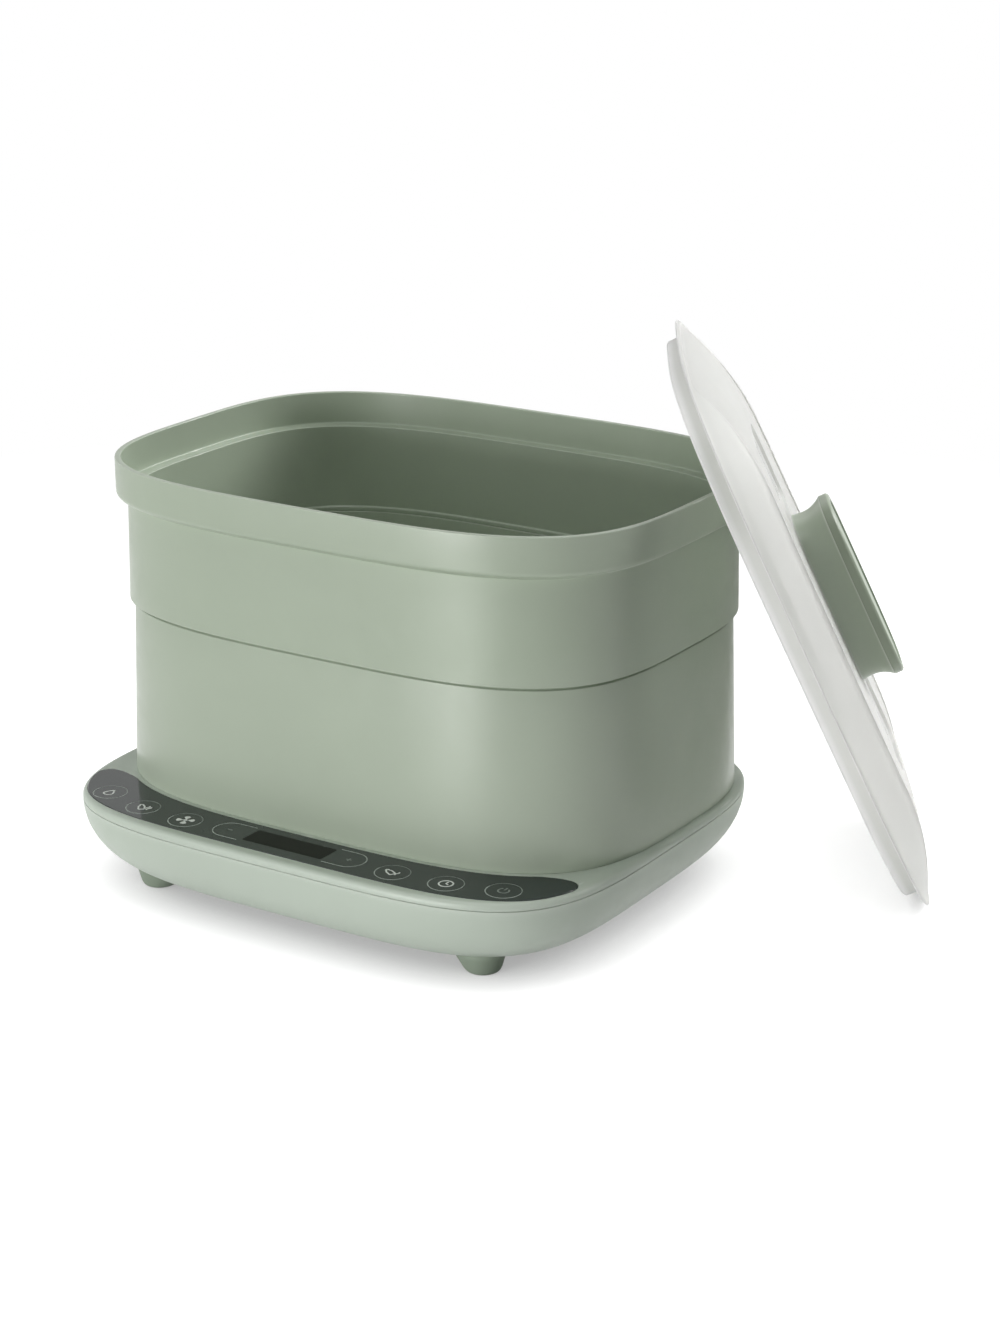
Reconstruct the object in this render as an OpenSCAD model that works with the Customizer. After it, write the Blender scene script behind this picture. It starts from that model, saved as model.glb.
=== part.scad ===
// Two-tier bottle steriliser and dryer: heated base, two tub tiers, bottle rack and a lid
// that leans on the rear right corner of the rim. Millimetres, +Z up, front towards -Y,
// origin on the table under the middle of the tub.

/* [Tub tiers] */
// half width of the rim, outside
rim_a = 150; // [140:1:160]
// how much shorter the tub is from front to back, on each side
tub_d = 39; // [34:1:44]
// squareness of the tub outline
tub_n = 3.5; // [3:0.1:4.2]
// wall thickness of both tiers
wall = 2.6; // [2.2:0.1:3]
// height of the lower tier above the deck
low_h = 90.9; // [80:0.1:110]
// height of the upper tier above the tier seam
up_h = 72.5; // [60:0.1:90]
// height of the proud band under the rim
band_h = 21; // [17:0.5:25]
// how far the upper wall sits inside the band
band_in = 5; // [4:0.1:6]
// depth of the ledge inside the rim
ledge_h = 17; // [14:0.5:20]
// inset of the upper tier's lower edge from the rim
up_bot_in = 4.1; // [3.8:0.1:4.4]
// inset of the lower tier at the tier seam
low_top_in = 6.3; // [6.1:0.1:6.6]
// inset of the lower tier at the deck
low_bot_in = 3.8; // [3.2:0.1:4.4]
// overlap of the two tiers
lap = 8; // [6:0.5:11]
// gap between pieces that lift apart
lift_gap = 0.4; // [0.3:0.05:0.6]

/* [Base] */
// how far the sides of the base stay inside the rim
base_in = 0.5; // [-6:0.5:2]
// how far the base reaches out in front of the rim
front_run = 32; // [28:0.5:38]
// how far the back of the base stays inside the rim
back_in = 1.5; // [-4:0.5:3]
// squareness of the base outline
base_n = 4.2; // [3.9:0.1:4.8]
// height of the rounded lower shell
shell_h = 34.6; // [34:0.1:40]
// run of the rounded underside
shell_run = 31; // [27:0.5:33]
// lower shell thickness
shell_t = 2.8; // [2.4:0.1:3.2]
// height of the deck above the seam
deck_h = 4.2; // [3.8:0.1:5]
// deck plate thickness
deck_t = 3; // [2.8:0.1:3.4]
// height of the collar that centres the lower tier
collar_h = 6; // [4:0.5:8]
// foot height under the shell
foot_h = 8.8; // [7:0.1:12]
// foot radius
foot_r = 10.4; // [8.5:0.1:11]
// middle of a foot from the side of the base
foot_in = 53; // [51.5:0.5:58]
// middle of a front foot from the front of the base
foot_front_in = 39; // [38:0.5:43]
// middle of a back foot from the back of the base
foot_back_in = 41.5; // [39.5:0.5:46]

/* [Control panel] */
// inset of the panel from the base outline
panel_in = 6.5; // [5.5:0.1:8]
// squareness of the panel's outer corners
panel_n = 4.8; // [4.2:0.1:5.2]
// strip of deck between the panel and the tub
panel_strip = 2.5; // [2:0.1:4]
// how far behind the front of the rim the panel's two ends stop
end_in = 22.5; // [19:0.5:28]
// corner radius at the panel's ends
end_r = 6.5; // [5:0.5:7.5]
// panel thickness
panel_t = 2.2; // [1.8:0.1:2.4]
// middle of the display window from the middle of the panel
win_x = -1; // [-3:0.2:1]
// display window width
win_w = 46.5; // [40:0.5:52]
// display window depth
win_d = 13.8; // [11:0.2:15]
// middle of the keys and the display from the front of the base
key_in = 20.5; // [19:0.5:22]

/* [Heater] */
// middle of the heating plate, sideways
heat_x = -45; // [-50:1:-42]
// radius of the dish wall
dish_r = 57.2; // [52:0.2:60]
// dish depth below its flange
dish_h = 5.6; // [4.6:0.1:6]
// sheet thickness of the dish
sheet = 0.8; // [0.6:0.1:1]
// width of the dish flange
flange_w = 5.8; // [4.5:0.1:7]
// seal thickness under the flange
seal_t = 1.2; // [1:0.1:1.6]
// mean radius of the heating element
elem_r = 42; // [36:0.5:44]
// heating element section
elem_d = 7; // [6:0.1:8]
// radius of the bracket posts
post_r = 4.2; // [3.5:0.1:5]
// distance of the bracket posts from the dish
post_out = 7; // [6:0.1:9]

/* [Blower] */
// middle of the blower from the side of the base
fan_in = 69.5; // [67.5:0.5:71.5]
// middle of the blower from the back of the base
fan_back = 97.5; // [96.5:0.5:99.5]
// blower housing radius
fan_r = 44; // [42:0.5:45]
// blower housing height
fan_h = 24; // [22:0.5:25]
// impeller radius
imp_r = 37; // [34:0.5:38]
// motor shaft radius
shaft_r = 2; // [1.5:0.1:2.5]
// running clearance of the shaft
shaft_gap = 0.05; // [0.03:0.01:0.08]
// middle of the warm air outlet in front of the blower
out_run = 74; // [72:0.5:76]
// outlet width
out_w = 46; // [40:0.5:48]
// outlet depth
out_d = 32; // [28:0.5:34]

/* [Air filter] */
// middle of the filter drawer, sideways
drawer_x = 34; // [33:0.5:35]
// filter drawer width
drawer_w = 61; // [56:0.5:64]
// filter drawer height
drawer_h = 21.6; // [20:0.1:22]
// depth of the drawer space from the back edge of the base
drawer_len = 37.5; // [36:0.5:39]
// gap round the drawer
drawer_gap = 0.35; // [0.3:0.05:0.5]

/* [Electrics] */
// height of the power board above the inside floor
board_up = 8.4; // [7:0.1:10]

/* [Bottle rack] */
// height of the rack seat above the deck
rack_up = 16.4; // [14:0.1:22]
// width of the rack seat
seat_w = 9; // [7:0.5:11]
// rack plate thickness
rack_t = 2.5; // [2:0.1:3.5]
// bottle station radius
sta_r = 36; // [33:0.5:37]
// station spacing, sideways
sta_x = 87; // [80:0.5:89]
// station spacing, front to back
sta_y = 92; // [86:0.5:94]

/* [Lid] */
// half length of the lid flange
lid_a = 151; // [150:0.2:153]
// lid height from its lip to the flat top
lid_h = 22.4; // [21:0.1:24]
// lid wall thickness
lid_t = 2.4; // [2:0.1:2.8]
// lip depth below the flange
lip_h = 8; // [6:0.2:9]
// lip inset from the flange
lip_in = 7.5; // [7:0.1:9]
// flange thickness
rim_t = 4.5; // [3.8:0.1:5]
// inset of the flat top
top_in = 27; // [24:0.5:30]
// half length of the flat top, before it falls towards the two ends
top_flat = 85; // [75:1:90]
// how far the pads under the vent pockets stand down from the lid
pocket_h = 3.6; // [2.4:0.1:4]
// depth of the vent pockets
pocket_cut = 1.6; // [1.2:0.1:2]
// compass angle of the lean
lean_az = 30.4; // [27:0.2:34]
// tilt of the lid from upright
lean_el = 25.3; // [23:0.1:28]
// sideways place of the lid along the floor
lean_q = -7; // [-16:1:2]
// clearance of the leaning lid
lean_gap = 0.35; // [0.3:0.05:0.6]
// handle half length at the top
grip_a = 47; // [44:0.5:50]
// handle half width at the top
grip_b = 28; // [26:0.5:31]
// handle waist inset
grip_in = 5.6; // [4:0.1:7]
// height of the handle's flared part
grip_h = 15.7; // [14.7:0.1:18]
// height of the handle's top band
grip_band = 4.8; // [4:0.2:6]

/* [Screws] */
// screw shank radius
screw_r = 1.7; // [1.5:0.05:2]
// screw head radius
head_r = 3.75; // [3.5:0.05:4]
// screw head height
head_h = 3; // [2.6:0.1:3.2]
// gap between a shank and its pilot hole
pilot_gap = 0.05; // [0.03:0.01:0.1]

/* [Hidden] */
seg = 96;
eps = 0.01;
shell_z = foot_h;
seam_z = shell_z + shell_h;
deck_z = seam_z + deck_h;
deck_under = deck_z - deck_t;
floor_z = shell_z + shell_t;
tier_z = deck_z + low_h;
rim_z = tier_z + up_h;
base_a = rim_a - base_in;
base_front = rim_a - tub_d + front_run;
base_back = rim_a - tub_d - back_in;
base_b = (base_front + base_back) / 2;
base_yc = (base_back - base_front) / 2;
low_bot_a = rim_a - low_bot_in;
low_top_a = rim_a - low_top_in;
up_bot_a = rim_a - up_bot_in;
collar_a = low_bot_a - wall - lift_gap;
rack_z = deck_z + rack_up;
rack_a = low_top_a - wall - 1.1;
boss_z = seam_z - 13.4;
head_z = shell_z + 4.5;
screw_front = 51 - base_front;
screw_back = base_back - 37.5;
screw_at = [[-40, screw_front], [40, screw_front], [-24, screw_back], [76, screw_back - 4]];
foot_x = base_a - foot_in;
foot_front = base_front - foot_front_in;
foot_back = base_back - foot_back_in;
foot_at = [[-foot_x, -foot_front], [foot_x, -foot_front], [-foot_x, foot_back], [foot_x, foot_back]];
panel_end = rim_a - tub_d - end_in;
key_y = base_front - key_in;
fan_x = base_a - fan_in;
fan_y = base_back - fan_back;
out_y = fan_y - out_run;
board_y = base_back - 51.5;
panel_z = deck_z - 2;
dish_z = deck_z + seal_t + sheet - dish_h;
elem_z = dish_z - elem_d;
fan_z = floor_z + 3.4;
board_z = floor_z + board_up;
imp_z = fan_z + 13;
drawer_z = floor_z + 4.2;
drawer_y = base_back - drawer_len;
up_in_a = up_bot_a - wall;
lip_a = lid_a - lip_in;
lid_in = lid_h - lid_t;

// point count of a smaller outline
seg_s = 64;

// points of a superellipse |x/a|^n + |y/b|^n = 1
function ring(a, b, n, k = seg) = [
  for (i = [0 : k - 1])
    let (t = 360 * (i + 0.5) / k, c = cos(t), s = sin(t))
    let (r = pow(pow(abs(c), n) + pow(abs(s), n), -1 / n))
    [a * r * c, b * r * s]
];

// one ring of the tub outline, and one of the base outline, for a loft
function tub_ring(a, z) = [a, a - tub_d, tub_n, z, 0];
function base_ring(inset, z) = [base_a - 1.12 * inset, base_b - inset, base_n, z, base_yc];

// closed skin through a list of outlines with equal point counts, lowest first
module skin(outlines) {
  m = len(outlines);
  k = len(outlines[0]);
  pts = [for (o = outlines) for (p = o) p];
  low = [for (j = [0 : m - 2]) for (i = [0 : k - 1]) [j * k + i, (j + 1) * k + i, (j + 1) * k + (i + 1) % k]];
  up = [for (j = [0 : m - 2]) for (i = [0 : k - 1]) [j * k + i, (j + 1) * k + (i + 1) % k, j * k + (i + 1) % k]];
  bottom = [[for (i = [0 : k - 1]) i]];
  top = [[for (i = [0 : k - 1]) m * k - 1 - i]];
  polyhedron(points = pts, faces = concat(bottom, low, up, top), convexity = 6);
}

// skin through rings of [a, b, n, z, y shift]
module loft(rs, k = seg) {
  skin([for (r = rs) [for (p = ring(r[0], r[1], r[2], k)) [p[0], p[1] + r[4], r[3]]]]);
}

// upright slab with the tub outline, and with the base outline
module tub_slab(a, z, h) {
  translate([0, 0, z])
    linear_extrude(h)
      polygon(ring(a, a - tub_d, tub_n));
}
module base_slab(inset, z, h) {
  r = base_ring(inset, z);
  translate([0, base_yc, z])
    linear_extrude(h)
      polygon(ring(r[0], r[1], base_n));
}

// box centred on x and y
module box(x, y, z, w, d, h) {
  translate([x - w / 2, y - d / 2, z])
    cube([w, d, h]);
}

// upright cylinder
module rod(x, y, z, r, h) {
  translate([x, y, z])
    cylinder(r = r, h = h, $fn = 48);
}

// rings of the lower shell: a quarter ellipse from the flat bottom to the seam
shell_rings = [for (i = [0 : 8])
  let (q = 90 * i / 8)
  base_ring(shell_run * (1 - sin(q)), seam_z - shell_h * cos(q))];
module shell_outer() {
  loft(shell_rings);
}

// part of the same skin at the rear, from point i1 to point i2 of each ring
module rear_patch(i1, i2) {
  skin([for (r = shell_rings)
    let (o = ring(r[0], r[1], r[2]))
    concat([for (i = [i1 : i2]) [o[i][0], o[i][1] + r[4], r[3]]],
           [[o[i2][0], 60, r[3]], [o[i1][0], 60, r[3]]])]);
}

// inside of the lower shell, one wall thickness in
module shell_inner() {
  in_h = shell_h - shell_t;
  lower = [for (i = [0 : 6])
    let (q = 90 * i / 6)
    base_ring(shell_t + (shell_run - 1.4) * (1 - sin(q)), seam_z - in_h * cos(q))];
  loft(concat(lower, [base_ring(shell_t, seam_z + 1)]));
}

// rear opening for the filter drawer, grown by a gap
module drawer_space(gap) {
  y1 = base_back + 5;
  translate([drawer_x - drawer_w / 2 - gap, drawer_y, drawer_z - gap])
    cube([drawer_w + 2 * gap, y1 - drawer_y, drawer_h + 2 * gap]);
}

// rear opening for the mains inlet
module inlet_space() {
  translate([-83, base_back - 25.5, drawer_z + 4])
    cube([26, 30.5, 15]);
}

module base_shell() {
  color([0.72, 0.77, 0.72])
  difference() {
    shell_outer();
    difference() {
      shell_inner();
      for (p = screw_at) rod(p[0], p[1], shell_z, 5.5, boss_z - shell_z);
      for (p = foot_at) rod(p[0], p[1], shell_z, foot_r + 3, 7.4);
      for (a = [30, 150, 270])
        rod(fan_x + 34 * cos(a), fan_y + 34 * sin(a), shell_z, 4, fan_z - shell_z);
      for (x = [-98, -46]) for (y = [-16, 16]) rod(x, board_y + y, shell_z, 3, board_z - shell_z);
      for (x = [-20, 20]) box(drawer_x + x, drawer_y + 8, shell_z, 5, 12, drawer_z - 2.4 - shell_z);
      box(fan_x, out_y + 8, shell_z, 20, 10, fan_z - shell_z);
    }
    for (p = screw_at) rod(p[0], p[1], shell_z - 1, head_r + 0.45, head_z - shell_z + 1);
    for (p = screw_at) rod(p[0], p[1], shell_z, screw_r + 0.4, boss_z);
    for (p = foot_at) rod(p[0], p[1], shell_z - 3, foot_r + 0.1, 7.4);
    drawer_space(drawer_gap);
    inlet_space();
  }
}

// outline of the touch panel: the strip of deck in front of the tub, with rounded ends
module panel_shape(grow) {
  f = base_ring(panel_in, 0);
  s = low_bot_a + panel_strip;
  offset(r = end_r + grow, $fn = 40) offset(delta = -end_r)
    difference() {
      translate([0, base_yc]) polygon(ring(f[0], f[1], panel_n));
      polygon(ring(s, s - tub_d, tub_n));
      translate([-2 * base_a, -panel_end]) square(4 * base_a);
    }
}

module base_deck() {
  edge = 4.8;
  color([0.78, 0.82, 0.75])
  difference() {
    union() {
      difference() {
        loft([for (i = [0 : 4])
          let (q = 90 * i / 4)
          base_ring(edge * (1 - cos(q)), seam_z + deck_h * sin(q))]);
        base_slab(shell_t + 3, seam_z - 1, deck_under - seam_z + 1);
      }
      difference() {
        base_slab(shell_t + 0.8, seam_z - 4, 4 + eps);
        base_slab(shell_t + 3, seam_z - 5, 6);
      }
      difference() {
        tub_slab(collar_a, deck_z - eps, collar_h + eps);
        tub_slab(collar_a - 2.4, deck_z - 1, collar_h + 2);
      }
      for (p = screw_at) rod(p[0], p[1], boss_z, 4.5, deck_under - boss_z + eps);
    }
    translate([0, 0, panel_z]) linear_extrude(10) panel_shape(0.15);
    box(win_x, -key_y, seam_z - 1, win_w + 3, win_d + 3, 10);
    rod(heat_x, 0, seam_z - 1, dish_r + 1, 10);
    box(fan_x, out_y, seam_z - 1, out_w, out_d, 10);
    for (p = screw_at) rod(p[0], p[1], boss_z - 1, screw_r + pilot_gap, 13);
    for (s = [-1, 1]) rod(heat_x + s * (dish_r + post_out), 0, seam_z - 1, post_r + pilot_gap, deck_under - seam_z + 2);
  }
}

// rubber foot with a rounded sole, seated in a pocket of the shell
module foot(i) {
  color([0.55, 0.61, 0.52])
  translate([foot_at[i][0], foot_at[i][1], 0])
    rotate_extrude($fn = 48)
      polygon([[0, 0], [foot_r - 3.4, 0], [foot_r - 2.5, 0.4], [foot_r - 2, 1.4], [foot_r, shell_z - 0.4],
               [foot_r, shell_z + 4.4], [0, shell_z + 4.4]]);
}
module foot_front_left() { foot(0); }
module foot_front_right() { foot(1); }
module foot_back_left() { foot(2); }
module foot_back_right() { foot(3); }

module control_panel() {
  color([0.3, 0.34, 0.32])
  difference() {
    translate([0, 0, panel_z]) linear_extrude(panel_t) panel_shape(0);
    box(win_x, -key_y, panel_z - 1, win_w + 0.2, win_d + 0.2, 10);
  }
}

module display_window() {
  color([0.12, 0.14, 0.12])
  box(win_x, -key_y, panel_z, win_w, win_d, panel_t);
}

module display_module() {
  color([0.1, 0.1, 0.1])
  box(win_x, -key_y, deck_under, win_w + 2, win_d + 2, panel_z - deck_under);
}

module touch_board() {
  color([0.1, 0.35, 0.2])
  union() {
    translate([0, 0, deck_under - 1.6]) linear_extrude(1.6) panel_shape(-4);
    box(0, -key_y, deck_under - 5.6, 18, 8, 4.8);
    box(-60, -key_y, deck_under - 4.1, 14, 9, 3.3);
  }
}

module heater_gasket() {
  color([0.75, 0.75, 0.72])
  translate([heat_x, 0, deck_z])
    rotate_extrude($fn = 96)
      translate([dish_r + 1, 0])
        square([flange_w - 1, seal_t]);
}

// pressed steel water dish over the element
module heating_plate() {
  color([0.75, 0.76, 0.77])
  translate([heat_x, 0, dish_z])
    rotate_extrude($fn = 96)
      polygon([[0, 0], [dish_r, 0], [dish_r, dish_h - sheet], [dish_r + flange_w, dish_h - sheet],
               [dish_r + flange_w, dish_h], [dish_r - sheet, dish_h], [dish_r - sheet, sheet], [0, sheet]]);
}

module heating_element() {
  h = elem_d / 2;
  color([0.35, 0.34, 0.33])
  translate([heat_x, 0, elem_z])
  difference() {
    rotate_extrude($fn = 96)
      translate([elem_r - h, 0])
        polygon([[1.6, 0], [elem_d - 1.6, 0], [elem_d, 1.6], [elem_d, elem_d - 1], [elem_d - 1, elem_d],
                 [1, elem_d], [0, elem_d - 1], [0, 1.6]]);
    translate([-6, 0, -1]) cube([12, 100, elem_d + 2]);
  }
}

// sprung bar that presses the element against the dish; its posts end in pockets of the deck
module heater_bracket() {
  reach_x = dish_r + post_out;
  color([0.6, 0.61, 0.62])
  union() {
    box(heat_x, 0, elem_z - 2, 2 * reach_x + 12, 14, 2);
    for (s = [-1, 1]) rod(heat_x + s * reach_x, 0, elem_z - 2, post_r, deck_under + 1 - elem_z + 2);
  }
}

module thermal_cutout() {
  color([0.2, 0.2, 0.2])
  union() {
    rod(heat_x, 0, elem_z, 8, elem_d);
    rod(heat_x, 0, dish_z - 1.4, 11, 1.4);
    for (s = [-1, 1]) box(heat_x, s * 9.4, elem_z + 2.4, 5, 6, 0.8);
  }
}

module temperature_probe() {
  color([0.8, 0.78, 0.7])
  union() {
    rod(heat_x + 20, 22, dish_z - 5, 3, 5);
    rod(heat_x + 20, 22, dish_z - 14, 1.4, 9 + eps);
    rod(heat_x + 20, 22, dish_z - 2, 5, 2);
  }
}

// open scroll cup of the blower with its outlet to the front
module fan_housing() {
  color([0.25, 0.26, 0.27])
  difference() {
    rod(fan_x, fan_y, fan_z, fan_r, fan_h);
    rod(fan_x, fan_y, fan_z + 2, fan_r - 2, fan_h);
    box(fan_x, fan_y - fan_r, fan_z + 2, 36, 30, fan_h - 5);
  }
}

module fan_cover() {
  color([0.25, 0.26, 0.27])
  difference() {
    rod(fan_x, fan_y, fan_z + fan_h, fan_r, 1.6);
    rod(fan_x, fan_y, fan_z + fan_h - 1, imp_r - 11, 4);
  }
}

module fan_motor() {
  color([0.15, 0.15, 0.16])
  difference() {
    rod(fan_x, fan_y, fan_z + 2, 15, 10);
    rod(fan_x, fan_y, fan_z + 3, shaft_r + shaft_gap, 12);
  }
}

// radial wheel on its own shaft
module impeller() {
  color([0.85, 0.86, 0.86])
  union() {
    rod(fan_x, fan_y, fan_z + 3.2, shaft_r, imp_z - fan_z - 3.2 + eps);
    rod(fan_x, fan_y, imp_z, imp_r, 1.6);
    rod(fan_x, fan_y, imp_z, 7, fan_h - 15);
    for (i = [0 : 17])
      translate([fan_x, fan_y, imp_z + 1.6 - eps])
        rotate([0, 0, 20 * i])
          translate([imp_r - 16, 0, 0])
            rotate([0, 0, 28])
              cube([15, 1.4, fan_h - 16.6]);
  }
}

// duct from the blower to the outlet, cut to the housing's round wall
module air_duct() {
  top = fan_z + fan_h;
  back = fan_y - fan_r + 8;
  front = out_y - out_d / 2 - 3;
  mid = out_y + out_d / 2 + 3;
  color([0.3, 0.31, 0.32])
  difference() {
    union() {
      translate([fan_x - 21, mid - 4, fan_z]) cube([42, back - mid + 4, fan_h]);
      translate([fan_x - out_w / 2 - 2, front, fan_z]) cube([out_w + 4, mid - front, deck_under - fan_z]);
    }
    rod(fan_x, fan_y, fan_z - 1, fan_r, fan_h + 4);
    translate([fan_x - 19, mid - 8, fan_z + 2]) cube([38, back - mid + 10, fan_h - 4]);
    translate([fan_x - out_w / 2, front + 2, fan_z + 2]) cube([out_w, mid - front - 4, deck_under - fan_z]);
  }
}

module air_heater() {
  y = out_y + out_d / 2 + 7;
  color([0.7, 0.7, 0.68])
  difference() {
    box(fan_x, y, fan_z + 2, 36, 10, fan_h - 5);
    for (i = [-4 : 4]) box(fan_x + 3.8 * i, y, fan_z + 4, 2.4, 20, fan_h - 9);
  }
}

module outlet_grille() {
  color([0.55, 0.61, 0.52])
  difference() {
    union() {
      box(fan_x, out_y, deck_z, out_w + 6, out_d + 6, 1.6);
      box(fan_x, out_y, deck_under, out_w - 0.4, out_d - 0.4, deck_t + eps);
    }
    for (i = [-4 : 4]) box(fan_x + 4.8 * i, out_y, deck_under - 1, 2.8, out_d - 6, 10);
  }
}

// sleeve that guides the filter drawer
module filter_frame() {
  w = drawer_w + 2 * drawer_gap;
  h = drawer_h + 2 * drawer_gap;
  color([0.3, 0.31, 0.32])
  difference() {
    translate([drawer_x - w / 2 - 2, drawer_y - 1, drawer_z - 2.4]) cube([w + 4, 13, h + 4.4]);
    translate([drawer_x - w / 2, drawer_y - 2, drawer_z - drawer_gap]) cube([w, 40, h]);
  }
}

// rear cover of the filter with its tray; its face follows the lower shell
module filter_cover() {
  color([0.72, 0.77, 0.72])
  union() {
    difference() {
      intersection() {
        rear_patch(15, 25);
        drawer_space(0);
      }
      translate([0, -3, 0]) rear_patch(15, 25);
      for (k = [0 : 3]) box(drawer_x, base_back - 10, drawer_z + 4.2 + 3.6 * k, drawer_w - 10, 60, 2.4);
    }
    difference() {
      intersection() {
        translate([drawer_x - drawer_w / 2, drawer_y + 1, drawer_z]) cube([drawer_w, 60, drawer_h]);
        translate([0, -2.9, 0]) rear_patch(15, 25);
      }
      translate([drawer_x - drawer_w / 2 + 1.6, drawer_y - 1, drawer_z + 1.6])
        cube([drawer_w - 3.2, 60, drawer_h - 3.2]);
    }
  }
}

module filter_element() {
  color([0.92, 0.92, 0.9])
  difference() {
    translate([drawer_x - drawer_w / 2 + 1.6, drawer_y + 3, drawer_z + 1.6])
      cube([drawer_w - 3.2, 9, drawer_h - 3.2]);
    for (i = [-6 : 6]) box(drawer_x + 4.2 * i, drawer_y + 2, drawer_z + 3.6, 2, 10, drawer_h - 7.2);
  }
}

module power_board() {
  z = board_z;
  color([0.12, 0.4, 0.22])
  difference() {
    union() {
      box(-72, board_y, z, 62, 42, 1.6);
      box(-84, board_y - 2, z + 1.6 - eps, 20, 22, 12);
      box(-60, board_y + 8, z + 1.6 - eps, 16, 12, 10);
      rod(-62, board_y - 8, z + 1.6 - eps, 5, 11);
      rod(-75, board_y + 14, z + 1.6 - eps, 4, 9);
    }
    for (x = [-98, -46]) for (y = [-16, 16]) rod(x, board_y + y, z - 5, 1.6, 9);
  }
}

// two-pin appliance inlet, flush with the rear of the shell
module mains_inlet() {
  z = drawer_z + 11.5;
  color([0.12, 0.12, 0.13])
  union() {
    difference() {
      intersection() {
        rear_patch(28, 33);
        inlet_space();
      }
      for (x = [-74.3, -65.7])
        translate([x, base_back - 20, z]) rotate([-90, 0, 0]) cylinder(r = 4.2, h = 30, $fn = 32);
      translate([-74.3, base_back - 20, z - 4.2]) cube([8.6, 30, 8.4]);
    }
    for (x = [-74.3, -65.7])
      translate([x, base_back - 21, z]) rotate([-90, 0, 0]) cylinder(r = 1.2, h = 11, $fn = 24);
  }
}

module base_screw(i) {
  color([0.6, 0.6, 0.6])
  difference() {
    union() {
      rod(screw_at[i][0], screw_at[i][1], head_z - head_h, head_r, head_h);
      rod(screw_at[i][0], screw_at[i][1], head_z - eps, screw_r, boss_z + 10 - head_z);
    }
    for (a = [0, 90])
      translate([screw_at[i][0], screw_at[i][1], head_z - head_h])
        rotate([0, 0, a]) cube([4.6, 1, 2.4], center = true);
  }
}
module base_screw_1() { base_screw(0); }
module base_screw_2() { base_screw(1); }
module base_screw_3() { base_screw(2); }
module base_screw_4() { base_screw(3); }

// lower tier: open tube that stands on the deck, with a seat for the rack
module lower_tub() {
  top = tier_z + lap;
  color([0.64, 0.7, 0.62])
  union() {
    difference() {
      loft([tub_ring(low_bot_a, deck_z), tub_ring(low_top_a, tier_z), tub_ring(low_top_a - 0.3, top)]);
      loft([tub_ring(low_bot_a - wall, deck_z - 1), tub_ring(low_top_a - wall, tier_z),
            tub_ring(low_top_a - wall, top + 1)]);
    }
    difference() {
      tub_slab(low_top_a + 0.6, rack_z - 2.5, 2.5);
      tub_slab(low_top_a - wall - seat_w, rack_z - 4, 6);
    }
  }
}

// rack: slotted tray with shallow rings that keep the bottles apart
module bottle_rack() {
  color([0.86, 0.88, 0.86])
  difference() {
    union() {
      tub_slab(rack_a, rack_z, rack_t);
      difference() {
        tub_slab(rack_a, rack_z, rack_t + 7);
        tub_slab(rack_a - 2, rack_z - 1, rack_t + 20);
      }
      for (i = [-1 : 1]) for (j = [-0.5, 0.5])
        rod(i * sta_x, j * sta_y, rack_z, sta_r + 1.8, rack_t + 6);
    }
    for (i = [-1 : 1]) for (j = [-0.5, 0.5]) {
      rod(i * sta_x, j * sta_y, rack_z + rack_t, sta_r, 20);
      for (k = [-2 : 2])
        box(i * sta_x, j * sta_y + 11 * k, rack_z - 1, 52 - 8 * abs(k), 5, 20);
    }
    for (s = [-1, 1]) box(s * (rack_a - 11), 0, rack_z - 1, 9, 34, 20);
  }
}

// upper tier: skirt over the lower tier, seat ring, wall and proud rim band
module upper_tub() {
  seat = tier_z + lap;
  ledge = rim_z - ledge_h;
  band = rim_z - band_h;
  color([0.64, 0.7, 0.62])
  difference() {
    loft([tub_ring(up_bot_a, tier_z), tub_ring(rim_a - band_in, band), tub_ring(rim_a - 0.8, band + 2),
          tub_ring(rim_a, band + 3.6), tub_ring(rim_a, rim_z - 0.9), tub_ring(rim_a - 0.8, rim_z)]);
    tub_slab(low_top_a + lift_gap, tier_z - 1, lap + 1);
    tub_slab(low_top_a - wall + 0.5, tier_z, lap + 10);
    loft([tub_ring(up_bot_a - wall - 0.3, seat + 2.5), tub_ring(rim_a - band_in - wall, ledge + 1)]);
    tub_slab(rim_a - wall, ledge, ledge_h + 1);
  }
}

// place of the leaning lid: its foot on the table, its vent pocket against the rim corner
w_x = cos(lean_el) * cos(lean_az);
w_y = cos(lean_el) * sin(lean_az);
w_z = sin(lean_el);
u_x = -sin(lean_el) * cos(lean_az);
u_y = -sin(lean_el) * sin(lean_az);
u_z = cos(lean_el);
v_x = sin(lean_az);
v_y = -cos(lean_az);
dual = tub_n / (tub_n - 1);
reach = pow(pow(rim_a * w_x, dual) + pow((rim_a - tub_d) * w_y, dual), 1 / dual) + w_z * rim_z;
lid_cz = lid_a * u_z - lip_h * w_z + lean_gap;
lid_p = (reach + lean_gap - (lid_in - pocket_h) - w_z * lid_cz) / cos(lean_el);
lid_cx = lid_p * cos(lean_az) - lean_q * sin(lean_az);
lid_cy = lid_p * sin(lean_az) + lean_q * cos(lean_az);
module lid_place() {
  multmatrix([[u_x, v_x, w_x, lid_cx], [u_y, v_y, w_y, lid_cy], [u_z, 0, w_z, lid_cz], [0, 0, 0, 1]])
    children();
}

// one ring of the lid at an inset and a height, and the straight slope from the flange up to the flat top
function lid_ring(inset, z) = [lid_a - inset, lid_a - tub_d - inset, tub_n, z, 0];
function slope_in(s) = 5 + (top_in - 5) * s;
function slope_z(s) = lip_h + rim_t + (lid_h - lip_h - rim_t) * s;

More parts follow.
